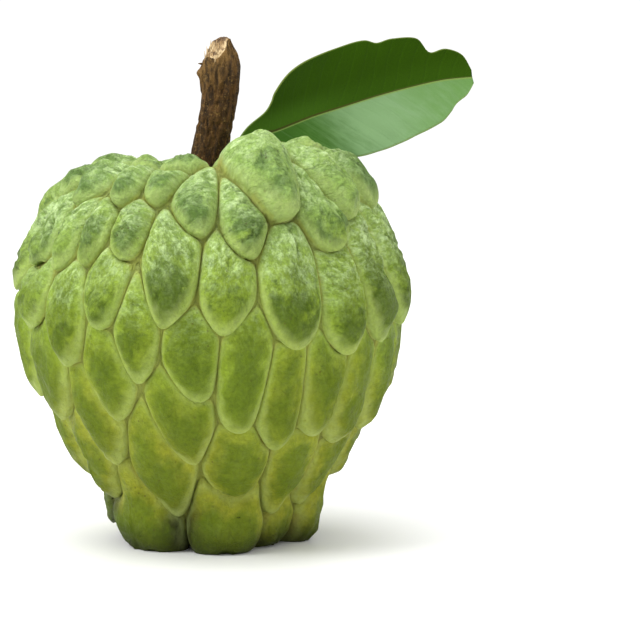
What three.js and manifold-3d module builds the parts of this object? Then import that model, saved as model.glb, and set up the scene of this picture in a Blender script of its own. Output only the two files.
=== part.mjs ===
// A whole ripe custard apple (sugar apple), with its woody stem and one leaf.
//
// Millimetres, +Z up. The origin is the middle of the flat spot that the fruit rests on.
// Azimuths are in degrees, seen from above: 0 faces -Y (the front) and 90 faces +X.
// A place on the skin is an azimuth and a climb: the distance along the skin from the
// blossom end below, up over the widest part and the shoulder, and down into the stem's pit.

import * as THREE from 'three';
import { ConvexHull } from 'three/addons/math/ConvexHull.js';
import { mergeVertices } from 'three/addons/utils/BufferGeometryUtils.js';
import Module from 'manifold-3d';

const wasm = await Module();
wasm.setup();

// ---- Fruit: driving dimensions ----

// Half section through the crowns of the areoles: [distance from the axis, height].
const CROWN_SECTION = [
  [0, 0], [9, 0], [16.6, 0.6], [20.3, 2.8], [22.3, 7], [23.9, 11.5], [28.5, 17], [32.4, 23],
  [36.8, 30.5], [39.9, 38.5], [42.2, 47], [43.3, 55], [41.2, 63], [38.3, 70.8], [34.4, 76.8],
  [29.5, 81.2], [23.6, 83.3], [17, 82.7], [11.5, 79.4], [7.5, 74.5], [4.6, 70], [0, 69.5],
];
const WIDEST_CLIMB = 74;

// Swellings and one dip of the shoulder round the pit: where each stands, how wide it is and
// how far it rises.
const SWELLINGS = [
  { x: 10, y: -14, spread: 8.5, rise: 5.2 },
  { x: 25, y: -4, spread: 10, rise: 4 },
  { x: -8, y: -13, spread: 10, rise: 1.8 },
  { x: -1, y: 17, spread: 8, rise: -2 },
];
const SWELLING_FOOT = 60;
const SWELLING_FULL = 82;

// Rows of areoles from the blossom end to the stem. Each has its climb, how many stand in it
// and how much plumper than the rest they are. The ones listed, as [azimuth, climb, plumper],
// fix how the row lies on the front; the others share the rest of the row.
const AREOLE_ROWS = [
  { climb: 0, count: 1, plumper: 0, placed: [[0, 0]] },
  { climb: 25, count: 6, plumper: 2.3, placed: [[-44, 25], [14, 24], [80, 25]] },
  { climb: 40, count: 9, plumper: 0.3, placed: [[-60, 41], [-21, 41], [12, 40]] },
  { climb: 54, count: 11, plumper: 0, placed: [[-44, 53], [-10, 55]] },
  { climb: 66, count: 12, plumper: 0, placed: [[-64, 63], [-35, 65], [-6, 68]] },
  { climb: 78, count: 12, plumper: 0, placed: [[-48, 77], [-24, 75]] },
  { climb: 88, count: 13, plumper: 0, placed: [[-66, 83], [-33, 84], [-13, 88, 1.4], [4, 86]] },
  {
    climb: 97,
    count: 13,
    plumper: 0,
    placed: [[-68, 94], [-54, 96], [-42, 97], [-30, 97.5], [-6, 104], [11, 100]],
  },
  {
    climb: 109,
    count: 14,
    plumper: 0,
    placed: [[-59, 110], [-38, 110], [-23, 112], [24, 112, 3.6], [43, 101], [57, 109], [82, 108]],
  },
  { climb: 121, count: 8, plumper: 0, placed: [[-22, 122], [82, 121]] },
  { climb: 131, count: 5, plumper: 0, placed: [[20, 131]] },
];
const AREOLE_SEED = 7;
const DRAW_FACTOR = 16807;
const DRAW_MODULUS = 2147483647;
const AZIMUTH_SCATTER = 0.3;
const CLIMB_SCATTER = 4;

// The areoles stand taller than they are wide: heights count this much against widths.
const HEIGHT_WEIGHT = 0.6;
const CROWDING_REACH = 0.4;
const CROWDING_STEP = 0.18;
const CROWDING_ROUNDS = 40;

// How far the lower end of an areole bows out over the next ones: this much of the way to
// them, less on the shoulder, where the bow fades between two climbs.
const LOW_BOW = 0.52;
const TOP_BOW = 0.3;
const BOW_FADE_START = 92;
const BOW_FADE_END = 106;

// Each millimetre that an areole is plumper by gives it this much more room round it.
const PLUMPER_ROOM = 0.014;
const SETTLE_ROUNDS = 8;
const SETTLE_SWAPS = 60;
const CLAIM_MARGIN = 1e-6;

// Relief: how far the grooves lie below the crowns, and how far the lower end of an areole
// stands out over the next one.
const GROOVE_DEPTH = 2.4;
const TOP_GROOVE_DEPTH = 3.2;
const DEEPER_START = 84;
const DEEPER_END = 98;
const LIP_RISE = 1.1;
const LIP_REACH = 12;
const LIP_LIMIT = 1.4;
const CROWN_RISE = 0.7;
const RIM_FRACTION = 0.16;
const RIM_LEAN = 0.08;
const RIM_DROP = 0.7;
const RIM_SHARE = 0.4;
const SHOULDER_SHARE = 0.8;
const SHOULDER_FRACTION = 0.52;
const CORNER_ROUNDING = 0.08;
const GROOVE_STEP = 5.5;

// The floor trims the feet flat.
const FLOOR_WIDTH = 120;
const FLOOR_DEPTH = 20;

// ---- Stem: driving dimensions ----

const STEM_AXIS = [
  [-1.2, 0, 67.5], [-1, 0, 76], [-0.4, 0, 84], [1.6, 0, 95], [2.3, 0, 104], [2.8, 0, 110.6],
];
const STEM_RADII = [4.6, 4.3, 4, 4.05, 4.25, 3.1];
const STEM_RINGS = 16;
const STEM_SIDES = 16;
const STEM_HOLE_RINGS = 12;
const STEM_CLEARANCE = 0.3;

// The stem is broken off at a slant: its left side ends this much lower.
const STEM_BREAK_DROP = 4.5;
const STEM_BREAK_START = 0.8;

// ---- Leaf: driving dimensions ----

// The midrib from the side of the stem to the tip, and how wide the blade is above and below
// it, as [distance from where the blade is full, width]. The blade is folded along the midrib.
const LEAF_MIDRIB = [
  [3.3, 3.4, 83.4], [8.5, 8.5, 87.6], [14.6, 13, 89.2], [22.5, 18.5, 91.9], [29.8, 23, 93.9],
  [37.4, 27, 96], [44.9, 30, 97.8], [52.4, 32.5, 99.3], [59.3, 34, 99.9],
];
const LEAF_UPPER_WIDTH = [
  [-12, 1.15], [-8, 2.4], [-3, 4.4], [0, 6.2], [2, 8.2], [7, 11.1], [13.6, 12.5], [22.4, 13],
  [27.6, 12.8], [30.4, 11.5], [34, 11.6], [39.6, 10.4], [41.8, 6.7], [45.3, 6.9], [48.8, 5.1],
  [50.6, 1.6],
];
const LEAF_LOWER_WIDTH = [
  [-12, 1.15], [-3, 2.4], [1, 4.8], [5, 7.8], [9, 10.4], [14, 12.8], [23.5, 13.4], [32, 12.5],
  [40, 10.5], [45.7, 6.6], [48.6, 4.6], [50.6, 1.8],
];
const LEAF_UPPER_LEAN = [0, 0.15, 1];
const LEAF_LOWER_LEAN = [0, -0.62, -0.78];
const LEAF_LENGTH = 50.6;
const LEAF_SECTIONS = 34;
const LEAF_EDGE_STEPS = 200;
const LEAF_ACROSS = [-1, -0.8, -0.55, -0.3, -0.1, 0, 0.1, 0.3, 0.55, 0.8, 1];
const LEAF_THICKNESS = 0.7;
const MIDRIB_THICKNESS = 1.7;
const MIDRIB_TAPER = 0.5;
const MIDRIB_SPREAD = 0.9;
const VEIN_SPACING = 6.2;
const VEIN_SLANT = 0.45;
const VEIN_WAVE = 0.35;
const VEIN_START = 1;
const VEIN_FULL = 8;

// ---- Colours ----

const RIND_GREEN = 0x93ab5a;
const BARK_BROWN = 0x5a4023;
const LEAF_GREEN = 0x3f6b1c;

// ---- Measuring ----

const SECTION_STEPS = 1600;
const SLOPE_REACH = 1.5;
const LEAST_RADIUS = 0.02;
const MERGE_DISTANCE = 1e-4;
const TINY = 1e-9;
const POLE_SIZE = 1e-3;

// ---- Helpers ----

/** A repeatable run of numbers between 0 and 1. */
function makeDraws(seed) {
  let state = seed;
  return () => {
    state = (state * DRAW_FACTOR) % DRAW_MODULUS;
    return state / DRAW_MODULUS;
  };
}

/** A number kept between two limits. */
function clamp(x, low, high) {
  return Math.min(high, Math.max(low, x));
}

/** A smooth step from 0 to 1 as x goes from a to b. */
function smoothStep(a, b, x) {
  const share = clamp((x - a) / (b - a), 0, 1);
  return share * share * (3 - 2 * share);
}

/** The value at x of a rising table, by straight lines between its entries. */
function readTable(xs, ys, x) {
  let low = 0;
  let high = xs.length - 1;
  while (high - low > 1) {
    const middle = (low + high) >> 1;
    if (xs[middle] > x) high = middle;
    else low = middle;
  }
  const share = clamp((x - xs[low]) / (xs[high] - xs[low]), 0, 1);
  return ys[low] + (ys[high] - ys[low]) * share;
}

/** A three.js geometry from points and triangles of point numbers. */
function makeGeometry(points, triangles) {
  const places = points.flatMap((point) => point.toArray());
  const geometry = new THREE.BufferGeometry();
  geometry.setAttribute('position', new THREE.Float32BufferAttribute(places, 3));
  geometry.setIndex(triangles.flat());
  return geometry;
}

/** A manifold solid from a closed three.js geometry. */
function toSolid(geometry) {
  const bare = geometry.clone();
  bare.deleteAttribute('normal');
  bare.deleteAttribute('uv');
  const merged = mergeVertices(bare, MERGE_DISTANCE);
  return new wasm.Manifold(new wasm.Mesh({
    numProp: 3,
    vertProperties: new Float32Array(merged.attributes.position.array),
    triVerts: new Uint32Array(merged.index.array),
  }));
}

/** A three.js geometry from a manifold solid. */
function fromSolid(solid) {
  const mesh = solid.getMesh();
  const geometry = new THREE.BufferGeometry();
  geometry.setAttribute('position', new THREE.BufferAttribute(mesh.vertProperties, 3));
  geometry.setIndex(new THREE.BufferAttribute(mesh.triVerts, 1));
  return geometry;
}

/** A closed skin over rings of equal size, from the first ring to the last. */
function loft(rings) {
  const sides = rings[0].length;
  const points = rings.flat();
  const triangles = [];
  for (let ring = 0; ring + 1 < rings.length; ring++) {
    for (let side = 0; side < sides; side++) {
      const a = ring * sides + side;
      const b = ring * sides + (side + 1) % sides;
      triangles.push([a, b, b + sides], [a, b + sides, a + sides]);
    }
  }
  const capRing = (ring, flip) => {
    const middle = rings[ring].reduce((sum, p) => sum.add(p), new THREE.Vector3());
    points.push(middle.divideScalar(sides));
    for (let side = 0; side < sides; side++) {
      const a = ring * sides + side;
      const b = ring * sides + (side + 1) % sides;
      triangles.push(flip ? [points.length - 1, b, a] : [points.length - 1, a, b]);
    }
  };
  capRing(0, true);
  capRing(rings.length - 1, false);
  return makeGeometry(points, triangles);
}

// ---- The skin as a surface ----

/** How far the areoles' lower ends bow out over the next ones at a climb. */
function bowAt(climb) {
  return LOW_BOW + (TOP_BOW - LOW_BOW) * smoothStep(BOW_FADE_START, BOW_FADE_END, climb);
}

/** Tables against the climb: the crown section, its angle on a ball, and the bow summed up. */
function measureSection() {
  const curve = new THREE.SplineCurve(CROWN_SECTION.map((point) => new THREE.Vector2(...point)));
  const climb = [0];
  const rho = [0];
  const height = [0];
  const pull = [0];
  for (let step = 1; step <= SECTION_STEPS; step++) {
    const last = step - 1;
    const point = curve.getPoint(step / SECTION_STEPS);
    climb.push(climb[last] + Math.hypot(point.x - rho[last], point.y - height[last]));
    rho.push(Math.max(0, point.x));
    height.push(point.y);
    const radius = Math.max(LEAST_RADIUS, (rho[step] + rho[last]) / 2);
    pull.push(pull[last] + (climb[step] - climb[last]) / radius);
  }
  const middle = readTable(climb, pull, WIDEST_CLIMB);
  const angle = pull.map((p) => 2 * Math.atan(Math.exp(HEIGHT_WEIGHT * (p - middle))));
  angle[0] = 0;
  angle[SECTION_STEPS] = Math.PI;
  const bowed = [0];
  for (let step = 1; step <= SECTION_STEPS; step++) {
    const last = step - 1;
    const bow = (bowAt(climb[step]) + bowAt(climb[last])) / 2;
    bowed.push(bowed[last] + (angle[step] - angle[last]) * bow);
  }
  return { climb, rho, height, angle, bowed };
}

const SECTION = measureSection();

/** The direction on the ball that stands for a place on the skin. */
function toBall(azimuth, climb) {
  const turn = THREE.MathUtils.degToRad(azimuth);
  const angle = readTable(SECTION.climb, SECTION.angle, climb);
  const reach = Math.sin(angle);
  return new THREE.Vector3(reach * Math.sin(turn), -reach * Math.cos(turn), -Math.cos(angle));
}

/** The climb that a direction on the ball stands for. */
function climbOf(direction) {
  return readTable(SECTION.angle, SECTION.climb, Math.acos(clamp(-direction.z, -1, 1)));
}

/** The point of the crown section at a climb. */
function sectionPoint(climb) {
  const rho = readTable(SECTION.climb, SECTION.rho, climb);
  const height = readTable(SECTION.climb, SECTION.height, climb);
  return new THREE.Vector2(rho, height);
}

/** The point of the skin at a direction on the ball, raised off the crown surface. */
function skinPoint(direction, raise) {
  const turn = Math.atan2(direction.x, -direction.y);
  const climb = climbOf(direction);
  const crown = sectionPoint(climb);
  const slope = sectionPoint(climb + SLOPE_REACH).sub(sectionPoint(climb - SLOPE_REACH)).normalize();
  const radius = crown.x + raise * slope.y;
  const height = crown.y - raise * slope.x;
  const point = new THREE.Vector3(radius * Math.sin(turn), -radius * Math.cos(turn), height);
  for (const { x, y, spread, rise } of SWELLINGS) {
    const aside = crown.x * Math.sin(turn) - x;
    const ahead = -crown.x * Math.cos(turn) - y;
    const swell = Math.exp(-(aside ** 2 + ahead ** 2) / (2 * spread ** 2));
    point.z += rise * swell * smoothStep(SWELLING_FOOT, SWELLING_FULL, crown.y);
  }
  return point;
}

// ---- The areoles ----

/** The areoles: where each stands, as a direction on the ball, and how plump it is. */
function placeAreoles() {
  const draw = makeDraws(AREOLE_SEED);
  const areoles = [];
  for (const { climb, count, plumper, placed } of AREOLE_ROWS) {
    placed.forEach(([azimuth, height, own = plumper]) => {
      areoles.push({ centre: toBall(azimuth, height), fixed: true, plumper: own });
    });
    const free = count - placed.length;
    const from = placed[placed.length - 1][0];
    const step = (placed[0][0] + 360 - from) / (free + 1);
    for (let place = 1; place <= free; place++) {
      const azimuth = from + place * step + (draw() - 0.5) * AZIMUTH_SCATTER * step;
      const height = climb + (draw() - 0.5) * CLIMB_SCATTER;
      areoles.push({ centre: toBall(azimuth, height), fixed: false, plumper });
    }
  }
  for (let round = 0; round < CROWDING_ROUNDS; round++) crowdApart(areoles);
  return areoles;
}

/** One round in which areoles that stand too close push the free ones apart. */
function crowdApart(areoles) {
  const moves = areoles.map(({ centre }) => {
    const move = new THREE.Vector3();
    for (const other of areoles) {
      const gap = new THREE.Vector3().subVectors(centre, other.centre);
      const distance = gap.length();
      if (distance > TINY && distance < CROWDING_REACH) {
        move.addScaledVector(gap, CROWDING_STEP * (CROWDING_REACH - distance) / distance);
      }
    }
    return move;
  });
  areoles.forEach(({ centre, fixed }, place) => {
    if (!fixed) centre.add(moves[place]).normalize();
  });
}

/** The sets of three neighbouring areoles: the triangles of a tight wrap round their centres. */
function findTrios(areoles) {
  const owner = new Map(areoles.map((areole) => [areole.centre, areole]));
  const hull = new ConvexHull().setFromPoints(areoles.map(({ centre }) => centre));
  return hull.faces.map(({ edge }) =>
    [edge, edge.next, edge.prev].map((side) => owner.get(side.vertex.point)));
}

/** Gives each areole a focus below its centre, by its bow and how far its neighbours stand. */
function leanAreoles(areoles, trios) {
  for (const areole of areoles) {
    const { centre } = areole;
    const gaps = trios.filter((trio) => trio.includes(areole)).flatMap((trio) =>
      trio.filter((other) => other !== areole).map((other) => centre.distanceTo(other.centre)));
    const down = new THREE.Vector3(0, 0, -1).projectOnPlane(centre);
    areole.focus = centre.clone();
    if (down.length() > POLE_SIZE) {
      const spacing = gaps.reduce((sum, gap) => sum + gap, 0) / gaps.length;
      areole.focus.addScaledVector(down.normalize(), bowAt(climbOf(centre)) * spacing / 2).normalize();
    }
    const bowed = readTable(SECTION.climb, SECTION.bowed, climbOf(areole.focus));
    areole.weight = bowed - PLUMPER_ROOM * areole.plumper;
  }
}

/** How far a place on the ball is from being an areole's own: the lowest claim wins. */
function claimOf(areole, place) {
  return place.distanceTo(areole.focus) + areole.weight;
}

/** The place on the ball, near a first one, where two or three areoles claim it equally. */
function settle(start, areoles) {
  const place = start.clone();
  for (let round = 0; round < SETTLE_ROUNDS; round++) {
    const [first, ...rest] = areoles.map((areole) => ({
      claim: claimOf(areole, place),
      way: new THREE.Vector3().subVectors(place, areole.focus).normalize(),
    }));
    const [one, two] = rest.map(({ claim, way }) => ({
      gap: first.claim - claim,
      slope: new THREE.Vector3().subVectors(first.way, way).projectOnPlane(place),
    }));
    if (two) {
      const besideOne = new THREE.Vector3().crossVectors(one.slope, place);
      const besideTwo = new THREE.Vector3().crossVectors(two.slope, place);
      const spread = one.slope.dot(besideTwo);
      place.addScaledVector(besideTwo, -one.gap / spread).addScaledVector(besideOne, two.gap / spread);
    } else {
      place.addScaledVector(one.slope, -one.gap / one.slope.lengthSq());
    }
    place.normalize();
  }
  return place;
}

/** The meeting place of three areoles, found from the place equally far from their centres. */
function makeMeeting(areoles) {
  const [a, b, c] = areoles.map(({ centre }) => centre);
  const start = new THREE.Vector3().subVectors(b, a).cross(new THREE.Vector3().subVectors(c, a));
  if (start.dot(a) < 0) start.negate();
  return { areoles, direction: settle(start.normalize(), areoles) };
}

/** Swaps one pair of meetings where a fourth areole claims the place of three. */
function swapPair(meetings) {
  for (const first of meetings) {
    for (const second of meetings) {
      const shared = first.areoles.filter((areole) => second.areoles.includes(areole));
      if (shared.length !== 2) continue;
      const own = first.areoles.find((areole) => !shared.includes(areole));
      const stranger = second.areoles.find((areole) => !shared.includes(areole));
      const lead = claimOf(own, first.direction) - claimOf(stranger, first.direction);
      if (lead > CLAIM_MARGIN) {
        meetings.delete(first);
        meetings.delete(second);
        shared.forEach((areole) => meetings.add(makeMeeting([own, stranger, areole])));
        return true;
      }
    }
  }
  return false;
}

/** Each areole's corners in order round it: the meeting places of three areoles. */
function outlineAreoles(areoles) {
  const trios = findTrios(areoles);
  leanAreoles(areoles, trios);
  const meetings = new Set(trios.map(makeMeeting));
  let swaps = 0;
  while (swaps < SETTLE_SWAPS && swapPair(meetings)) swaps++;
  const corners = [...meetings].map((meeting, number) => ({ ...meeting, number }));
  for (const areole of areoles) {
    const ahead = new THREE.Vector3(0, 0, 1).cross(areole.focus);
    if (ahead.length() < POLE_SIZE) ahead.set(1, 0, 0);
    const side = new THREE.Vector3().crossVectors(areole.focus, ahead);
    const turn = ({ direction }) => Math.atan2(direction.dot(side), direction.dot(ahead));
    areole.outline = corners.filter((corner) => corner.areoles.includes(areole));
    areole.outline.sort((a, b) => turn(a) - turn(b));
  }
}

/** The whole skin: every areole a rounded pad between grooves that it shares. */
function areoleSkin() {
  const areoles = placeAreoles();
  outlineAreoles(areoles);
  const points = [];
  const triangles = [];
  const corners = new Map();
  const grooves = new Map();

  const grooveFloor = (direction, isCorner) => {
    const deeper = smoothStep(DEEPER_START, DEEPER_END, climbOf(direction));
    points.push(skinPoint(direction, (GROOVE_DEPTH - TOP_GROOVE_DEPTH) * deeper - GROOVE_DEPTH));
    return { number: points.length - 1, direction, isCorner };
  };

  const cornerPoint = (corner) => {
    if (!corners.has(corner)) corners.set(corner, grooveFloor(corner.direction, true));
    return corners.get(corner);
  };

  const groovePoints = (from, to) => {
    const forward = from.number < to.number;
    const [a, b] = forward ? [from, to] : [to, from];
    const key = `${a.number} ${b.number}`;
    if (!grooves.has(key)) {
      const sides = a.areoles.filter((areole) => b.areoles.includes(areole));
      const length = skinPoint(a.direction, 0).distanceTo(skinPoint(b.direction, 0));
      const steps = Math.max(1, Math.round(length / GROOVE_STEP));
      const inner = [];
      for (let step = 1; step < steps; step++) {
        const straight = a.direction.clone().lerp(b.direction, step / steps).normalize();
        inner.push(grooveFloor(settle(straight, sides), false));
      }
      grooves.set(key, inner);
    }
    const inner = grooves.get(key);
    return forward ? inner : [...inner].reverse();
  };

  for (const { centre, plumper, outline } of areoles) {
    const rim = outline.flatMap((corner, side) => {
      const next = outline[(side + 1) % outline.length];
      return [cornerPoint(corner), ...groovePoints(corner, next)];
    });
    const middle = rim.reduce((sum, { direction }) => sum.add(direction), new THREE.Vector3()).normalize();
    const centreClimb = climbOf(centre);
    const lipAt = (direction, limit) => clamp((centreClimb - climbOf(direction)) / LIP_REACH, -limit, limit);
    const addPoint = (direction, raise) => {
      points.push(skinPoint(direction, raise + LIP_RISE * lipAt(direction, LIP_LIMIT)));
      return points.length - 1;
    };
    const addRing = (inwardAt, raise) => rim.map((point) =>
      addPoint(point.direction.clone().lerp(middle, inwardAt(point)).normalize(), raise));
    const rimInset = ({ direction, isCorner }) =>
      RIM_FRACTION - RIM_LEAN * lipAt(direction, 1) + (isCorner ? CORNER_ROUNDING : 0);
    const edge = addRing(rimInset, RIM_SHARE * plumper - RIM_DROP);
    const shoulder = addRing(() => SHOULDER_FRACTION, SHOULDER_SHARE * (CROWN_RISE + plumper));
    const crown = addPoint(middle, CROWN_RISE + plumper);
    rim.forEach(({ number }, side) => {
      const next = (side + 1) % rim.length;
      triangles.push([number, rim[next].number, edge[next]]);
      triangles.push([number, edge[next], edge[side]]);
      triangles.push([edge[side], edge[next], shoulder[next]]);
      triangles.push([edge[side], shoulder[next], shoulder[side]]);
      triangles.push([shoulder[side], shoulder[next], crown]);
    });
  }
  return makeGeometry(points, triangles);
}

/** A plain block below the floor, which trims the feet of the fruit flat. */
function floorBlock() {
  const block = new THREE.BoxGeometry(FLOOR_WIDTH, FLOOR_WIDTH, FLOOR_DEPTH);
  return toSolid(block.translate(0, 0, -FLOOR_DEPTH / 2));
}

/** The fruit: one body, its feet flat and its pit open for the stem. */
function makeFruit() {
  const rings = stemRings(STEM_CLEARANCE).slice(0, STEM_HOLE_RINGS);
  rings[0].forEach((point) => point.setZ(point.z - STEM_CLEARANCE));
  const hole = toSolid(loft(rings));
  return fromSolid(toSolid(areoleSkin()).subtract(floorBlock()).subtract(hole));
}

// ---- The stem ----

/** The stem's rings, thickened by the clearance where a hole for it is wanted. */
function stemRings(clearance) {
  const axis = new THREE.CatmullRomCurve3(STEM_AXIS.map((point) => new THREE.Vector3(...point)));
  const radii = new THREE.SplineCurve(STEM_RADII.map((radius, place) => new THREE.Vector2(place, radius)));
  const rings = [];
  for (let ring = 0; ring <= STEM_RINGS; ring++) {
    const along = ring / STEM_RINGS;
    const middle = axis.getPoint(along);
    const radius = radii.getPoint(along).y + clearance;
    const points = [];
    for (let side = 0; side < STEM_SIDES; side++) {
      const turn = 2 * Math.PI * side / STEM_SIDES;
      const leftness = (1 - Math.cos(turn)) / 2;
      const drop = STEM_BREAK_DROP * smoothStep(STEM_BREAK_START, 1, along) * leftness;
      const outward = new THREE.Vector3(radius * Math.cos(turn), radius * Math.sin(turn), -drop);
      points.push(outward.add(middle));
    }
    rings.push(points);
  }
  return rings;
}

// ---- The leaf ----

/** A smooth edge of the blade through its widths, as a function of the distance along it. */
function bladeEdge(widths) {
  const curve = new THREE.SplineCurve(widths.map((entry) => new THREE.Vector2(...entry)));
  const edge = curve.getPoints(LEAF_EDGE_STEPS);
  const alongs = edge.map((point) => point.x);
  const reaches = edge.map((point) => point.y);
  return (along) => readTable(alongs, reaches, along);
}

/** The leaf's middle surface: rows of points across it, from the stem to the tip. */
function leafSheet() {
  const upperWidth = bladeEdge(LEAF_UPPER_WIDTH);
  const lowerWidth = bladeEdge(LEAF_LOWER_WIDTH);
  const midrib = new THREE.CatmullRomCurve3(LEAF_MIDRIB.map((point) => new THREE.Vector3(...point)));
  const total = midrib.getLength();
  const rows = [];
  for (let section = 0; section <= LEAF_SECTIONS; section++) {
    const share = section / LEAF_SECTIONS;
    const along = share * total - (total - LEAF_LENGTH);
    const point = midrib.getPointAt(share);
    const ahead = midrib.getTangentAt(share);
    const sideways = (lean) => new THREE.Vector3(...lean).projectOnPlane(ahead).normalize();
    const upper = sideways(LEAF_UPPER_LEAN);
    const lower = sideways(LEAF_LOWER_LEAN);
    const face = new THREE.Vector3().crossVectors(ahead, upper).normalize();
    rows.push(LEAF_ACROSS.map((across) => {
      const [way, widthAt] = across < 0 ? [upper, upperWidth] : [lower, lowerWidth];
      const reach = Math.abs(across) * widthAt(along);
      const vein = Math.sin(2 * Math.PI * (along - VEIN_SLANT * reach) / VEIN_SPACING);
      const wave = VEIN_WAVE * vein * smoothStep(VEIN_START, VEIN_FULL, reach);
      return point.clone().addScaledVector(way, reach).addScaledVector(face, wave);
    }));
  }
  return rows;
}

/** How thick the leaf is at a distance from its midrib and along it. */
function leafThickness(reach, along) {
  const rib = MIDRIB_THICKNESS * (1 - MIDRIB_TAPER * smoothStep(0, LEAF_LENGTH, along));
  return LEAF_THICKNESS + (rib - LEAF_THICKNESS) * Math.exp(-((reach / MIDRIB_SPREAD) ** 2));
}

/** The leaf: stalk, midrib and folded blade as one closed skin over its middle surface. */
function makeLeaf() {
  const rows = leafSheet();
  const columns = LEAF_ACROSS.length;
  const rib = (columns - 1) / 2;
  const rings = rows.map((row, section) => {
    const before = rows[Math.max(0, section - 1)];
    const after = rows[Math.min(rows.length - 1, section + 1)];
    const along = LEAF_LENGTH * section / LEAF_SECTIONS;
    const upperSide = [];
    const underSide = [];
    row.forEach((point, column) => {
      const left = row[Math.max(0, column - 1)];
      const right = row[Math.min(columns - 1, column + 1)];
      const ahead = new THREE.Vector3().subVectors(after[column], before[column]);
      const across = new THREE.Vector3().subVectors(right, left);
      const normal = new THREE.Vector3().crossVectors(across, ahead).normalize();
      const half = leafThickness(point.distanceTo(row[rib]), along) / 2;
      upperSide.push(point.clone().addScaledVector(normal, half));
      underSide.unshift(point.clone().addScaledVector(normal, -half));
    });
    return [...upperSide, ...underSide];
  });
  return loft(rings);
}

// ---- The whole ----

/** A named piece of the custard apple. */
function makePiece(name, geometry, color, roughness) {
  const material = new THREE.MeshStandardMaterial({ color, roughness, metalness: 0 });
  const piece = new THREE.Mesh(geometry, material);
  piece.name = name;
  return piece;
}

const custardApple = new THREE.Group();
custardApple.add(makePiece('fruit', makeFruit(), RIND_GREEN, 0.6));
custardApple.add(makePiece('stem', loft(stemRings(0)), BARK_BROWN, 0.85));
custardApple.add(makePiece('leaf', makeLeaf(), LEAF_GREEN, 0.45));

export default custardApple;
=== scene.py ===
"""A whole ripe custard apple with its woody stem and one leaf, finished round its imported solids.

The fruit's rind, the stem's bark and broken end, and the leaf's folded blade are modelled here in
full and stand in for the plain solids of the frame. Sizes are in millimetres and are turned into
metres where a mesh is finished. +Z is up, -Y is the front, and the origin is the middle of the
flat spot that the fruit rests on. A place on the rind is an azimuth, 0 at the front and 90 at +X,
and a climb: the distance along the rind from the blossom end up to the stem's pit.
"""

import logging
import math
from collections.abc import Callable
from dataclasses import dataclass, field
from enum import Enum

import bmesh
import bpy
import numpy as np
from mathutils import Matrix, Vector, noise

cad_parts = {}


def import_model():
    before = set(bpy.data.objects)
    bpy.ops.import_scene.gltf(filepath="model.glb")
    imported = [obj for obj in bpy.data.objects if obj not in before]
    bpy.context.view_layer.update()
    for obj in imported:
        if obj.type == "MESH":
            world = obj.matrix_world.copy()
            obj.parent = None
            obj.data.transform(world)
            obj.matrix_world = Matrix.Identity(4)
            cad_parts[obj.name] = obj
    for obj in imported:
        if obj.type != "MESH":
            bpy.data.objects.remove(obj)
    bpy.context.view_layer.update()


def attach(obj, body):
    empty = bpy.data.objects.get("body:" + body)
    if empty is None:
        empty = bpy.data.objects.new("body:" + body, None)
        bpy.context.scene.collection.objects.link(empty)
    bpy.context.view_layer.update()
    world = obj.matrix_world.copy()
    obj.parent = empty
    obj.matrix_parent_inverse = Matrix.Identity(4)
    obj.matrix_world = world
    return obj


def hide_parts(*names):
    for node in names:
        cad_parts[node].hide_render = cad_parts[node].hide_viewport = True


LOG = logging.getLogger("custard_apple")
MM = 0.001
TINY = 1e-6
UP = (0.0, 0.0, 1.0)
BODY = "root"
VEIN_SLANT = 0.62
# The Mix node's sockets for colours: the share and both colours, and then the result.
MIX_INPUTS = (0, 6, 7)
MIX_OUTPUT = 2

Colour = tuple[float, float, float, float]
Triple = tuple[float, float, float]
Socket = bpy.types.NodeSocket
Trio = frozenset[int]
Meetings = dict[Trio, np.ndarray]


class Slot(Enum):
    """The record's material slots, one for each kind of piece."""

    SKIN = "skin"
    BARK = "bark"
    LEAF = "leaf"


class Parts(Enum):
    """The parts of a mesh that can be picked one by one."""

    EDGES = "edges"
    FACES = "faces"


class Cell(Enum):
    """What a pattern of small cells measures: the way to a cell's middle or to its edge."""

    MIDDLE = "F1"
    EDGE = "DISTANCE_TO_EDGE"


class Blend(Enum):
    """How one colour lies on another."""

    COVER = "MIX"
    OVERLAY = "OVERLAY"


def linear(red: int, green: int, blue: int) -> Colour:
    """Turns a colour as a screen shows it into the linear values that a shader takes.

    Args:
        red: red, 0 to 255.
        green: green, 0 to 255.
        blue: blue, 0 to 255.

    Returns:
        The linear colour with an alpha of 1.
    """
    parts = []
    for value in (red, green, blue):
        share = value / 255
        parts.append(share / 12.92 if share <= 0.04045 else ((share + 0.055) / 1.055) ** 2.4)
    return (parts[0], parts[1], parts[2], 1.0)


@dataclass(frozen=True)
class Ramp:
    """A smooth change from start to end while another number goes from low to high."""

    low: float
    high: float
    start: float = 0.0
    end: float = 1.0

    def at(self, value: np.ndarray | float) -> np.ndarray | float:
        """Gives the changing number for a value of the other one.

        Args:
            value: the other number, or an array of them.

        Returns:
            The changing number there.
        """
        share = np.clip((value - self.low) / (self.high - self.low), 0.0, 1.0)
        rise = share * share * (3 - 2 * share)
        return self.start + (self.end - self.start) * rise


@dataclass(frozen=True)
class Grain:
    """Cloudy noise in a finish.

    Attributes:
        size: the size of its largest clouds, in millimetres.
        detail: how many finer layers it has.
        rough: how strong the finer layers are.
        warp: how much it is bent.
        stretch: its scale along each axis.
        local: whether it follows the piece's stored local places.
        ramp: what the noise is mapped through, if anything.
    """

    size: float
    detail: float = 3.0
    rough: float = 0.5
    warp: float = 0.0
    stretch: Triple = (1.0, 1.0, 1.0)
    local: bool = False
    ramp: Ramp | None = None


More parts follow.
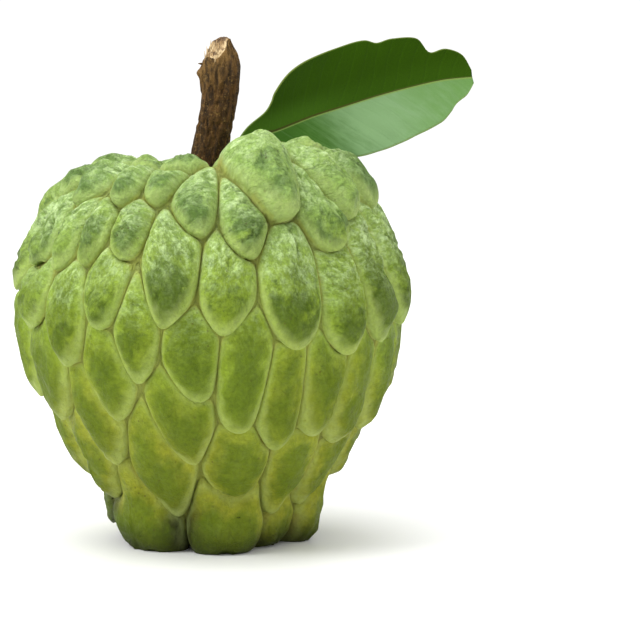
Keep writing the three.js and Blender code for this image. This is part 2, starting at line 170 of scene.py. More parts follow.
def spline_point(points: np.ndarray, share: float) -> np.ndarray:
    """Reads a smooth curve through points.

    Args:
        points: the curve's points, one a row.
        share: how far along it, from 0 to 1, counted in points.

    Returns:
        The point of the curve there.
    """
    last = len(points) - 1
    place = share * last
    start = min(int(place), last)
    rest = place - start
    before = points[max(start - 1, 0)]
    here = points[start]
    after = points[min(start + 1, last)]
    beyond = points[min(start + 2, last)]
    pull_here = (after - before) / 2
    pull_after = (beyond - here) / 2
    return (
        (2 * here - 2 * after + pull_here + pull_after) * rest**3
        + (-3 * here + 3 * after - 2 * pull_here - pull_after) * rest**2
        + pull_here * rest
        + here
    )


def smooth_through(points: tuple, steps: int) -> np.ndarray:
    """Draws a smooth curve through points, as one more point than there are steps."""
    rows = np.array(points, dtype=float)
    return np.array([spline_point(rows, step / steps) for step in range(steps + 1)])


def in_length(ways: np.ndarray) -> np.ndarray:
    """Makes each row one long."""
    return ways / np.linalg.norm(ways, axis=-1, keepdims=True)


def ring_noise(x: float, y: float, rate: float, height: float) -> float:
    """Gives noise round an upright stem: a rate bends it more quickly round the stem."""
    return noise.noise(Vector((x * rate, y * rate, height)))


@dataclass
class Draws:
    """A repeatable run of numbers between 0 and 1."""

    state: int
    factor: int = 16807
    wrap: int = 2147483647

    def next(self) -> float:
        """Gives the next number of the run."""
        self.state = (self.state * self.factor) % self.wrap
        return self.state / self.wrap

    def spread(self, width: float) -> float:
        """Gives a number from -width/2 to width/2."""
        return (self.next() - 0.5) * width

    def between(self, least: float, most: float) -> float:
        """Gives a number from a least to a most one."""
        return least + (most - least) * self.next()


# ---------------------------------------------------------------------------------------------
# Working in Blender
# ---------------------------------------------------------------------------------------------


class Bench:
    """Small jobs on Blender objects that every piece needs."""

    @staticmethod
    def clear() -> None:
        """Leaves edit mode and deselects everything."""
        if bpy.context.mode != "OBJECT":
            bpy.ops.object.mode_set(mode="OBJECT")
        bpy.ops.object.select_all(action="DESELECT")

    @staticmethod
    def take(piece: bpy.types.Object) -> None:
        """Makes a piece the only one selected, and the active one.

        Args:
            piece: the piece.
        """
        Bench.clear()
        piece.select_set(True)
        bpy.context.view_layer.objects.active = piece

    @staticmethod
    def edit(piece: bpy.types.Object, mode: str = "VERT") -> None:
        """Opens a piece in edit mode with all of it selected.

        Args:
            piece: the piece.
            mode: what is selected in it: VERT, EDGE or FACE.
        """
        Bench.take(piece)
        bpy.ops.object.mode_set(mode="EDIT")
        bpy.ops.mesh.select_mode(type=mode)
        bpy.ops.mesh.select_all(action="SELECT")

    @staticmethod
    def choose(parts: Parts, wanted: Callable) -> None:
        """Selects only the edges or faces, of the piece in edit mode, that a test picks.

        Args:
            parts: which parts the test is for.
            wanted: the test.
        """
        bpy.ops.mesh.select_all(action="DESELECT")
        mesh = bmesh.from_edit_mesh(bpy.context.edit_object.data)
        for part in mesh.edges if parts is Parts.EDGES else mesh.faces:
            part.select = wanted(part)
        bmesh.update_edit_mesh(bpy.context.edit_object.data)

    @staticmethod
    def start(name: str, vertices: list, faces: list) -> bpy.types.Object:
        """Lays out a first mesh from points and faces.

        Args:
            name: the piece's name.
            vertices: its points.
            faces: its faces, as lists of point numbers.

        Returns:
            The new object, linked to the scene.
        """
        mesh = bpy.data.meshes.new(name)
        mesh.from_pydata([tuple(v) for v in vertices], [], faces)
        piece = bpy.data.objects.new(name, mesh)
        bpy.context.scene.collection.objects.link(piece)
        return piece

    @staticmethod
    def rod(sides: int, cuts: int, ends: str) -> bpy.types.Object:
        """Adds an upright rod of radius 1 and length 1, cut across into rings.

        Args:
            sides: how many sides it has.
            cuts: how many times it is cut across.
            ends: how its ends are filled.

        Returns:
            The rod, in edit mode.
        """
        Bench.clear()
        bpy.ops.mesh.primitive_cylinder_add(vertices=sides, radius=1, depth=1, end_fill_type=ends)
        piece = bpy.context.object
        Bench.edit(piece, "EDGE")
        Bench.choose(Parts.EDGES, lambda edge: abs(edge.verts[0].co.z - edge.verts[1].co.z) > 0.5)
        bpy.ops.mesh.subdivide(number_cuts=cuts)
        return piece

    @staticmethod
    def coordinates(piece: bpy.types.Object) -> np.ndarray:
        """Reads a piece's points as rows of x, y and z.

        Args:
            piece: the piece.

        Returns:
            The points, in metres.
        """
        flat = np.empty(len(piece.data.vertices) * 3)
        piece.data.vertices.foreach_get("co", flat)
        return flat.reshape(-1, 3)

    @staticmethod
    def place(piece: bpy.types.Object, points: np.ndarray) -> None:
        """Moves a piece's points, given in millimetres."""
        piece.data.vertices.foreach_set("co", (np.asarray(points) * MM).ravel())
        piece.data.update()

    @staticmethod
    def note(piece: bpy.types.Object, **notes: np.ndarray) -> None:
        """Stores numbers or vectors for each point of a piece, for its material to read.

        Args:
            piece: the piece.
            notes: the arrays to store, by name.
        """
        for name, values in notes.items():
            kind, key = ("FLOAT", "value") if values.ndim == 1 else ("FLOAT_VECTOR", "vector")
            layer = piece.data.attributes.new(name=name, type=kind, domain="POINT")
            layer.data.foreach_set(key, np.ascontiguousarray(values, dtype=np.float32).ravel())

    @staticmethod
    def noted(piece: bpy.types.Object, name: str) -> np.ndarray:
        """Gives a number stored at each of a piece's points.

        Args:
            piece: the piece.
            name: the number's name.

        Returns:
            The numbers.
        """
        values = np.empty(len(piece.data.vertices))
        piece.data.attributes[name].data.foreach_get("value", values)
        return values

    @staticmethod
    def modify(piece: bpy.types.Object, kind: str, **settings: object) -> None:
        """Gives a piece a modifier with some settings and applies it.

        Args:
            piece: the piece.
            kind: the modifier's type.
            settings: its settings.
        """
        Bench.take(piece)
        bpy.ops.object.modifier_add(type=kind)
        modifier = piece.modifiers[-1]
        for name, value in settings.items():
            setattr(modifier, name, value)
        bpy.ops.object.modifier_apply(modifier=modifier.name)

    @staticmethod
    def dress(piece: bpy.types.Object, *materials: bpy.types.Material) -> None:
        """Gives a piece its materials, in the order of its faces' material numbers."""
        for material in materials:
            piece.data.materials.append(material)

    @staticmethod
    def merge(piece: bpy.types.Object, others: list) -> None:
        """Joins other objects into a piece.

        Args:
            piece: the piece.
            others: the objects that become part of it.
        """
        Bench.take(piece)
        for other in others:
            other.select_set(True)
        bpy.ops.object.join()

    @staticmethod
    def finish(piece: bpy.types.Object, slot: Slot, *nodes: str) -> None:
        """Shades a piece smooth, hangs it on the body and hides the frame's nodes that it stands
        for.

        Args:
            piece: the dressed piece.
            slot: not used.
            nodes: the frame's nodes that it stands for.
        """
        Bench.take(piece)
        bpy.ops.object.shade_smooth()
        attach(piece, BODY)
        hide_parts(*nodes)
        mesh = piece.data
        LOG.info("%s: %d points, %d faces", piece.name, len(mesh.vertices), len(mesh.polygons))


def ramp_in(tree: bpy.types.NodeTree, value: Socket, ramp: Ramp) -> Socket:
    """Maps a number through a ramp in a node tree.

    Args:
        tree: the node tree.
        value: the number.
        ramp: the ramp.

    Returns:
        The mapped number.
    """
    node = tree.nodes.new("ShaderNodeMapRange")
    node.interpolation_type = "SMOOTHSTEP"
    tree.links.new(value, node.inputs["Value"])
    ends = (("From Min", ramp.low), ("From Max", ramp.high),
            ("To Min", ramp.start), ("To Max", ramp.end))
    for name, end in ends:
        node.inputs[name].default_value = end
    return node.outputs["Result"]


class Shader:
    """A material's node tree, built a node at a time."""

    def __init__(self, name: str, ground: Colour) -> None:
        """Starts a material with its surface shader.

        Args:
            name: the material's name.
            ground: the colour that the others are laid over.
        """
        self.colour: object = ground
        self.normal: Socket | None = None
        self.material = bpy.data.materials.new(name)
        self.material.use_nodes = True
        self.tree = self.material.node_tree
        self.surface = self.tree.nodes["Principled BSDF"]
        self.object_place = self.tree.nodes.new("ShaderNodeTexCoord").outputs["Object"]

    def join(self, source: object, target: Socket) -> None:
        """Feeds a socket from an output, or sets it to a plain value.

        Args:
            source: the output or the value.
            target: the socket.
        """
        if isinstance(source, Socket):
            self.tree.links.new(source, target)
        else:
            target.default_value = source

    def own(self, name: str, output: str = "Fac") -> Socket:
        """Reads what is stored at the piece's points.

        Args:
            name: what it is stored as.
            output: Fac, or Vector for a stored vector.

        Returns:
            The number or vector.
        """
        node = self.tree.nodes.new("ShaderNodeAttribute")
        node.attribute_type = "GEOMETRY"
        node.attribute_name = name
        return node.outputs[output]

    def sums(self, how: str, first: object, *others: object) -> Socket:
        """Works out a number.

        Args:
            how: the Math node's operation.
            first: its first value.
            others: the values that it is then worked out with, in turn.

        Returns:
            The result.
        """
        result = first
        for other in others or (0.0,):
            node = self.tree.nodes.new("ShaderNodeMath")
            node.operation = how
            self.join(result, node.inputs[0])
            self.join(other, node.inputs[1])
            result = node.outputs[0]
        return result

    def times(self, *values: object) -> Socket:
        """Multiplies numbers."""
        return self.sums("MULTIPLY", *values)

    def plus(self, *values: object) -> Socket:
        """Adds numbers."""
        return self.sums("ADD", *values)

    def ramp(self, value: Socket, ramp: Ramp) -> Socket:
        """Maps a number through a ramp."""
        return ramp_in(self.tree, value, ramp)

    def stretched(self, factors: Triple, local: bool = False) -> Socket:
        """Gives the place on the piece, or its local place, in stretched millimetres.

        Args:
            factors: how much each axis is scaled.
            local: whether to read the local place.

        Returns:
            The place.
        """
        node = self.tree.nodes.new("ShaderNodeMapping")
        place = self.own("local", "Vector") if local else self.object_place
        self.join(place, node.inputs["Vector"])
        node.inputs["Scale"].default_value = tuple(f if local else f / MM for f in factors)
        return node.outputs["Vector"]

    def grain(self, grain: Grain, place: Socket | None = None) -> Socket:
        """Gives cloudy noise.

        Args:
            grain: how the noise looks.
            place: what it reads, or None for the place on the piece.

        Returns:
            The noise, from 0 to 1, mapped through the grain's own ramp.
        """
        node = self.tree.nodes.new("ShaderNodeTexNoise")
        if place is None:
            place = self.stretched(grain.stretch, grain.local)
        self.join(place, node.inputs["Vector"])
        node.inputs["Scale"].default_value = 1 / grain.size
        node.inputs["Detail"].default_value = grain.detail
        node.inputs["Roughness"].default_value = grain.rough
        node.inputs["Distortion"].default_value = grain.warp
        clouds = node.outputs["Fac"]
        return self.ramp(clouds, grain.ramp) if grain.ramp else clouds

    def cells(self, size: float, cell: Cell = Cell.MIDDLE) -> Socket:
        """Gives the distance in a pattern of small cells of a size in millimetres.

        Args:
            size: the cells' size, in millimetres.
            cell: which distance to give.

        Returns:
            The distance, counted in cells.
        """
        node = self.tree.nodes.new("ShaderNodeTexVoronoi")
        node.feature = cell.value
        self.join(self.stretched((1.0, 1.0, 1.0)), node.inputs["Vector"])
        node.inputs["Scale"].default_value = 1 / size
        return node.outputs["Distance"]

    def mix(self, share: object, first: object, second: object,
            blend: Blend = Blend.COVER) -> Socket:
        """Mixes two colours.

        Args:
            share: how much of the second shows.
            first: the first colour.
            second: the second colour.
            blend: how the second lies on the first.

        Returns:
            The mixed colour.
        """
        node = self.tree.nodes.new("ShaderNodeMix")
        node.data_type = "RGBA"
        node.blend_type = blend.value
        for value, socket in zip((share, first, second), MIX_INPUTS):
            self.join(value, node.inputs[socket])
        return node.outputs[MIX_OUTPUT]

    def paint(self, share: object, colour: object, blend: Blend = Blend.COVER) -> None:
        """Lays a share of a colour over the surface's colour so far."""
        self.colour = self.mix(share, self.colour, colour, blend)

    def emboss(self, height: Socket, depth: float) -> None:
        """Presses a height pattern into the surface, over its coarser relief so far.

        Args:
            height: the pattern, from 0 to 1.
            depth: how deep it goes, in millimetres.
        """
        node = self.tree.nodes.new("ShaderNodeBump")
        node.inputs["Strength"].default_value = 1.0
        node.inputs["Distance"].default_value = depth * MM
        self.join(height, node.inputs["Height"])
        if self.normal is not None:
            self.join(self.normal, node.inputs["Normal"])
        self.normal = node.outputs["Normal"]

    def end(self, rough: object, **fixed: object) -> bpy.types.Material:
        """Finishes the surface with its colour and relief so far.

        Args:
            rough: its roughness.
            fixed: plain values for other sockets, named with _ for a space.

        Returns:
            The material.
        """
        self.join(self.colour, self.surface.inputs["Base Color"])
        self.join(rough, self.surface.inputs["Roughness"])
        if self.normal is not None:
            self.join(self.normal, self.surface.inputs["Normal"])
        for name, value in fixed.items():
            self.surface.inputs[name.replace("_", " ")].default_value = value
        return self.material


# ---------------------------------------------------------------------------------------------
# Finishes
# ---------------------------------------------------------------------------------------------


@dataclass(frozen=True)
class RindFinish:
    """The rind: green areoles, paler at their rims and mottled, with painted shade low in each
    areole and at the foot, and bloomy on top, where it is partly painted light.

    Its ramps read numbers stored on the rind: the climb, 0 at the blossom end and 1 in the pit;
    the edge, the millimetres to the nearest groove; the lip, which grows from an areole's upper
    end to its lower end; and the tone, 0 to 1 for the areole as a whole.
    """

    # A dark olive: painted shade at the foot, where the fruit comes down to the floor.
    foot: Colour = linear(40, 44, 4)
    low: Colour = linear(143, 147, 38)
    middle: Colour = linear(128, 151, 42)
    top: Colour = linear(124, 152, 74)
    drift: Grain = Grain(24.0, 2.0, ramp=Ramp(0.3, 0.7, -0.06, 0.06))
    foot_to_low: Ramp = Ramp(0.12, 0.22)
    low_to_middle: Ramp = Ramp(0.25, 0.55)
    middle_to_top: Ramp = Ramp(0.5, 0.76)
    # Where the foot's painted shade is laid again, over the climb.
    foot_painted_shade: Ramp = Ramp(0.19, 0.13, 0.0, 0.75)

    heart: Colour = linear(84, 104, 0)
    heart_drift: Grain = Grain(4.0, 4.0, 0.6, ramp=Ramp(0.3, 0.7, -1.2, 1.2))
    heart_edge: Ramp = Ramp(0.5, 4.4)
    heart_lip: Ramp = Ramp(1.1, -0.2, 0.72, 1.0)
    heart_climb: Ramp = Ramp(0.68, 0.5, 0.0, 0.8)

    patch: Colour = linear(68, 88, 0)
    high_patch: Colour = linear(86, 114, 52)
    clouds: Grain = Grain(6.0, 5.0, 0.6, 0.4)
    inside: Ramp = Ramp(0.6, 2.2)
    tone_shift: Ramp = Ramp(0.0, 1.0, -0.08, 0.1)
    lip_shift: Ramp = Ramp(-0.5, 0.8, -0.06, 0.06)
    patch_clouds: Ramp = Ramp(0.4, 0.58)
    # The patches gather at each areole's lower end, where it turns down: painted shade over the
    # mottling.
    patch_lower_end_shade: Ramp = Ramp(-0.75, 0.35, 0.35, 1.0)
    patch_climb: Ramp = Ramp(0.4, 0.6, 0.45, 1.0)
    high_up: Ramp = Ramp(0.54, 0.74)

    dark: Colour = linear(46, 68, 12)
    high_dark: Colour = linear(66, 92, 36)
    spots: Grain = Grain(1.0, 7.0, 0.76, 0.3, (0.7, 1.0, 1.0), True, Ramp(0.52, 0.68))
    spot_climb: Ramp = Ramp(0.42, 0.62, 0.2, 0.7)
    spot_top: Ramp = Ramp(0.84, 0.74, 0.65, 1.0)

    # The whitish bloomy coating, also painted light: stronger high on the fruit and at each
    # areole's upper end.
    bloom_and_painted_light: Colour = linear(192, 216, 160)
    veil: Grain = Grain(1.6, 8.0, 0.74, 0.3, (0.7, 1.0, 1.0), True, Ramp(0.42, 0.68, 0.08, 0.95))
    bloom_lip: Ramp = Ramp(0.45, -0.5, 0.2, 1.0)
    bloom_and_painted_light_climb: Ramp = Ramp(0.46, 0.68, 0.04, 0.97)

    grit_dark: Colour = (0.25, 0.27, 0.16, 1.0)
    grit_pale: Colour = (0.85, 0.85, 0.7, 1.0)
    grit: Grain = Grain(0.8, 4.0, 0.7, ramp=Ramp(0.35, 0.65))
    grit_climb: Ramp = Ramp(0.4, 0.6, 0.2, 0.34)

    speck: Colour = linear(76, 64, 26)
    speck_spacing: float = 1.7
    speck_reach: Ramp = Ramp(0.19, 0.08)
    speck_clouds: Ramp = Ramp(0.5, 0.62, 0.0, 0.6)

    rim: Colour = linear(180, 196, 120)
    rim_drift: Grain = Grain(2.6, 3.0, ramp=Ramp(0.3, 0.7, -0.5, 0.5))
    rim_wear: Grain = Grain(1.3, 4.0, 0.6, ramp=Ramp(0.3, 0.6, 0.5, 1.0))
    rim_width: Ramp = Ramp(-0.2, 0.9, 1.6, 3.4)
    rim_fade: Ramp = Ramp(1.0, 0.2)
    rim_lip: Ramp = Ramp(-0.9, 0.9, 0.16, 0.46)

    wall: Colour = linear(166, 174, 86)
    wall_drift: Grain = Grain(6.0, 3.0, ramp=Ramp(0.4, 0.6))
    wall_wear: Ramp = Ramp(0.0, 1.0, 0.3, 0.8)
    wall_edge: Ramp = Ramp(0.4, 0.1)
    seam_start: Ramp = Ramp(0.2, 0.34)
    seam_end: Ramp = Ramp(0.8, 0.5, 0.0, 0.15)
    line: Colour = linear(104, 106, 36)
    line_edge: Ramp = Ramp(0.12, 0.02, 0.0, 0.5)

    russet: Colour = linear(150, 112, 34)
    russet_drift: Grain = Grain(12.0, 3.0, ramp=Ramp(0.6, 0.68))
    russet_edge: Ramp = Ramp(0.9, 0.2, 0.0, 0.22)

    folds: Grain = Grain(2.6, 5.0, 0.6, 0.9, (0.34, 1.0, 1.0), True)
    fold_climb: Ramp = Ramp(0.5, 0.72, 0.25, 0.9)
    fold_depth: float = 1.7
    pebbles: Grain = Grain(1.5, 6.0, 0.7, 0.6)
    pebble_depth: float = 0.62
    pores: Grain = Grain(0.5, 3.0, 0.6)
    pore_depth: float = 0.09

    rough: Grain = Grain(2.4, 4.0, 0.6, ramp=Ramp(0.35, 0.7, 0.51, 0.68))
    specular: float = 0.16
    flesh_share: float = 0.1
    flesh_radius: Triple = (0.8, 1.0, 0.3)
    flesh_depth: float = 0.0012

    def material(self) -> bpy.types.Material:
        """Makes the rind's material.

        Returns:
            The material.
        """
        # The ground is the foot's painted shade; the greens are laid over it higher up.
        shader = Shader("rind", self.foot)
        self.lay_ground(shader)
        self.mottle(shader)
        self.strew(shader)
        self.edge(shader)
        climb = shader.own("climb")
        # Painted shade: the foot is darkened towards the floor.
        shader.paint(shader.ramp(climb, self.foot_painted_shade), self.foot)
        folds = shader.times(shader.grain(self.folds), shader.ramp(climb, self.fold_climb))
        shader.emboss(folds, self.fold_depth)
        shader.emboss(shader.grain(self.pebbles), self.pebble_depth)
        shader.emboss(shader.grain(self.pores), self.pore_depth)
        return shader.end(
            shader.grain(self.rough), Specular_IOR_Level=self.specular,
            Subsurface_Weight=self.flesh_share, Subsurface_Radius=self.flesh_radius,
            Subsurface_Scale=self.flesh_depth,
        )

    def lay_ground(self, shader: Shader) -> None:
        """Lays the green, from a dark olive painted shade at the foot to grey green on the
        shoulder.

        Args:
            shader: the material.
        """
        climb = shader.own("climb")
        drift = shader.plus(climb, shader.grain(self.drift))
        shader.paint(shader.ramp(drift, self.foot_to_low), self.low)
        shader.paint(shader.ramp(drift, self.low_to_middle), self.middle)
        shader.paint(shader.ramp(drift, self.middle_to_top), self.top)
        ragged = shader.plus(shader.own("edge"), shader.grain(self.heart_drift))
        lip = shader.ramp(shader.own("lip"), self.heart_lip)
        heart = shader.times(shader.ramp(ragged, self.heart_edge), lip)
        heart = shader.times(heart, shader.ramp(climb, self.heart_climb))
        shader.paint(heart, self.heart)

    def mottle(self, shader: Shader) -> None:
        """Adds dark patches, mottling gathered at each areole's lower end as painted shade, its
        dark spots, and a whitish veil high in it that is partly painted light.

        Args:
            shader: the material.
        """
        climb = shader.own("climb")
        lip = shader.own("lip")
        inside = shader.ramp(shader.own("edge"), self.inside)
        high_up = shader.ramp(climb, self.high_up)
        tone = shader.ramp(shader.own("tone"), self.tone_shift)
        clouds = shader.plus(shader.grain(self.clouds), tone, shader.ramp(lip, self.lip_shift))
        # Dark patches: the rind's own mottling, and painted shade towards each areole's lower end.
        patches = shader.times(
            shader.ramp(clouds, self.patch_clouds), inside,
            shader.ramp(lip, self.patch_lower_end_shade), shader.ramp(climb, self.patch_climb),
        )
        shader.paint(patches, shader.mix(high_up, self.patch, self.high_patch))
        spots = shader.times(
            shader.grain(self.spots), inside,
            shader.ramp(climb, self.spot_climb), shader.ramp(climb, self.spot_top),
        )
        shader.paint(spots, shader.mix(high_up, self.dark, self.high_dark))
        # Whitish coating and painted light: whiter high on the fruit and at each areole's upper
        # end.
        bloom_and_painted_light = shader.times(shader.grain(self.veil), shader.ramp(lip, self.bloom_lip))
        shader.paint(shader.times(bloom_and_painted_light, shader.ramp(climb, self.bloom_and_painted_light_climb)), self.bloom_and_painted_light)

    def strew(self, shader: Shader) -> None:
        """Strews fine grit and brown specks over the rind.

        Args:
            shader: the material.
        """
        grit = shader.mix(shader.grain(self.grit), self.grit_dark, self.grit_pale)
        shader.paint(shader.ramp(shader.own("climb"), self.grit_climb), grit, Blend.OVERLAY)
        specks = shader.ramp(shader.cells(self.speck_spacing), self.speck_reach)
        clouds = shader.ramp(shader.grain(self.clouds), self.speck_clouds)
        shader.paint(shader.times(specks, clouds), self.speck)

    def edge(self, shader: Shader) -> None:
        """Adds the areoles' pale rims, the grooves' tan walls and dark lines, and russet.

        Args:
            shader: the material.
        """
        edge = shader.own("edge")
        lip = shader.own("lip")
        ragged = shader.plus(edge, shader.grain(self.rim_drift))
        share = shader.sums("DIVIDE", ragged, shader.ramp(lip, self.rim_width))
        rim = shader.times(shader.ramp(share, self.rim_fade), shader.ramp(lip, self.rim_lip))
        shader.paint(shader.times(rim, shader.grain(self.rim_wear)), self.rim)
        worn = shader.ramp(shader.grain(self.wall_drift), self.wall_wear)
        shader.paint(shader.times(shader.ramp(edge, self.wall_edge), worn), self.wall)
        seam = shader.times(shader.ramp(edge, self.seam_start), shader.ramp(edge, self.seam_end))
        shader.paint(seam, self.rim)
        shader.paint(shader.ramp(edge, self.line_edge), self.line)
        russet = shader.times(shader.grain(self.russet_drift), shader.ramp(edge, self.russet_edge))
        shader.paint(russet, self.russet)


@dataclass(frozen=True)
class BarkFinish:
    """The stem's bark: dark brown with long ridges, pale flecks and a redder foot."""

    dark: Colour = linear(42, 27, 4)
    middle: Colour = linear(92, 63, 24)
    ridges: Grain = Grain(1.2, 6.0, 0.7, 0.5, (1.0, 1.0, 0.3))
    ridge_tone: Ramp = Ramp(0.38, 0.6)
    cracks: Grain = Grain(0.7, 5.0, 0.65, 0.4, (1.0, 1.0, 0.16), ramp=Ramp(0.56, 0.66, 0.0, 0.7))
    rings: Grain = Grain(2.4, 5.0, 0.7, 0.5, (0.4, 0.4, 1.0))
    ring_tone: Ramp = Ramp(0.5, 0.66, 0.0, 0.55)
    red: Colour = linear(112, 62, 26)
    red_climb: Ramp = Ramp(0.5, 0.22)
    red_ridges: Ramp = Ramp(0.42, 0.6, 0.15, 0.75)
    pale: Colour = linear(142, 110, 58)
    flecks: Grain = Grain(0.7, 4.0, 0.7, ramp=Ramp(0.54, 0.68, 0.0, 0.7))
    pale_climb: Ramp = Ramp(0.78, 1.0)
    pale_ridges: Ramp = Ramp(0.4, 0.62, 0.12, 0.62)
    ridge_depth: float = 0.8
    pores: Grain = Grain(0.5, 4.0, 0.65)
    pore_depth: float = 0.16
    rough: float = 0.82
    specular: float = 0.3

    def material(self) -> bpy.types.Material:
        """Makes the bark's material, which reads its climb: 0 at the foot, 1 at the torn rim.

        Returns:
            The material.
        """
        shader = Shader("bark", self.dark)
        climb = shader.own("climb")
        ridges = shader.grain(self.ridges)
        rings = shader.grain(self.rings)
        shader.paint(shader.ramp(ridges, self.ridge_tone), self.middle)
        shader.paint(shader.grain(self.cracks), self.dark)
        shader.paint(shader.ramp(rings, self.ring_tone), self.dark)
        red_ridges = shader.ramp(ridges, self.red_ridges)
        shader.paint(shader.times(shader.ramp(climb, self.red_climb), red_ridges), self.red)
        shader.paint(shader.grain(self.flecks), self.pale)
        pale_ridges = shader.ramp(ridges, self.pale_ridges)
        shader.paint(shader.times(shader.ramp(climb, self.pale_climb), pale_ridges), self.pale)
        shader.emboss(shader.plus(ridges, rings), self.ridge_depth)
        shader.emboss(shader.grain(self.pores), self.pore_depth)
        return shader.end(self.rough, Specular_IOR_Level=self.specular)


@dataclass(frozen=True)
class TornWoodFinish:
    """The stem's torn wood: pale tan fibres, browner towards the bark and in their hollows."""

    pale: Colour = linear(206, 182, 138)
    tan: Colour = linear(152, 120, 76)
    brown: Colour = linear(76, 52, 26)
    fibres: Grain = Grain(0.8, 4.0, 0.6, 0.3, (1.0, 1.0, 0.18))
    fresh_tone: Ramp = Ramp(0.38, 0.6)
    worn_tone: Ramp = Ramp(0.4, 0.62)
    worn_depth: Ramp = Ramp(0.3, 0.75)
    hollows: Grain = Grain(1.3, 4.0, 0.6, ramp=Ramp(0.5, 0.6, 0.0, 0.8))
    fibre_depth: float = 0.5
    rough: float = 0.75

    def material(self) -> bpy.types.Material:
        """Makes the torn wood's material, which reads its depth: 0 in the middle, 1 at the bark.

        Returns:
            The material.
        """
        shader = Shader("torn_wood", self.tan)
        fibres = shader.grain(self.fibres)
        worn = shader.mix(shader.ramp(fibres, self.worn_tone), self.brown, self.tan)
        shader.paint(shader.ramp(fibres, self.fresh_tone), self.pale)
        inner = shader.ramp(shader.own("depth"), self.worn_depth)
        shader.colour = shader.mix(inner, worn, shader.colour)
        shader.paint(shader.grain(self.hollows), self.brown)
        shader.emboss(fibres, self.fibre_depth)
        return shader.end(self.rough)


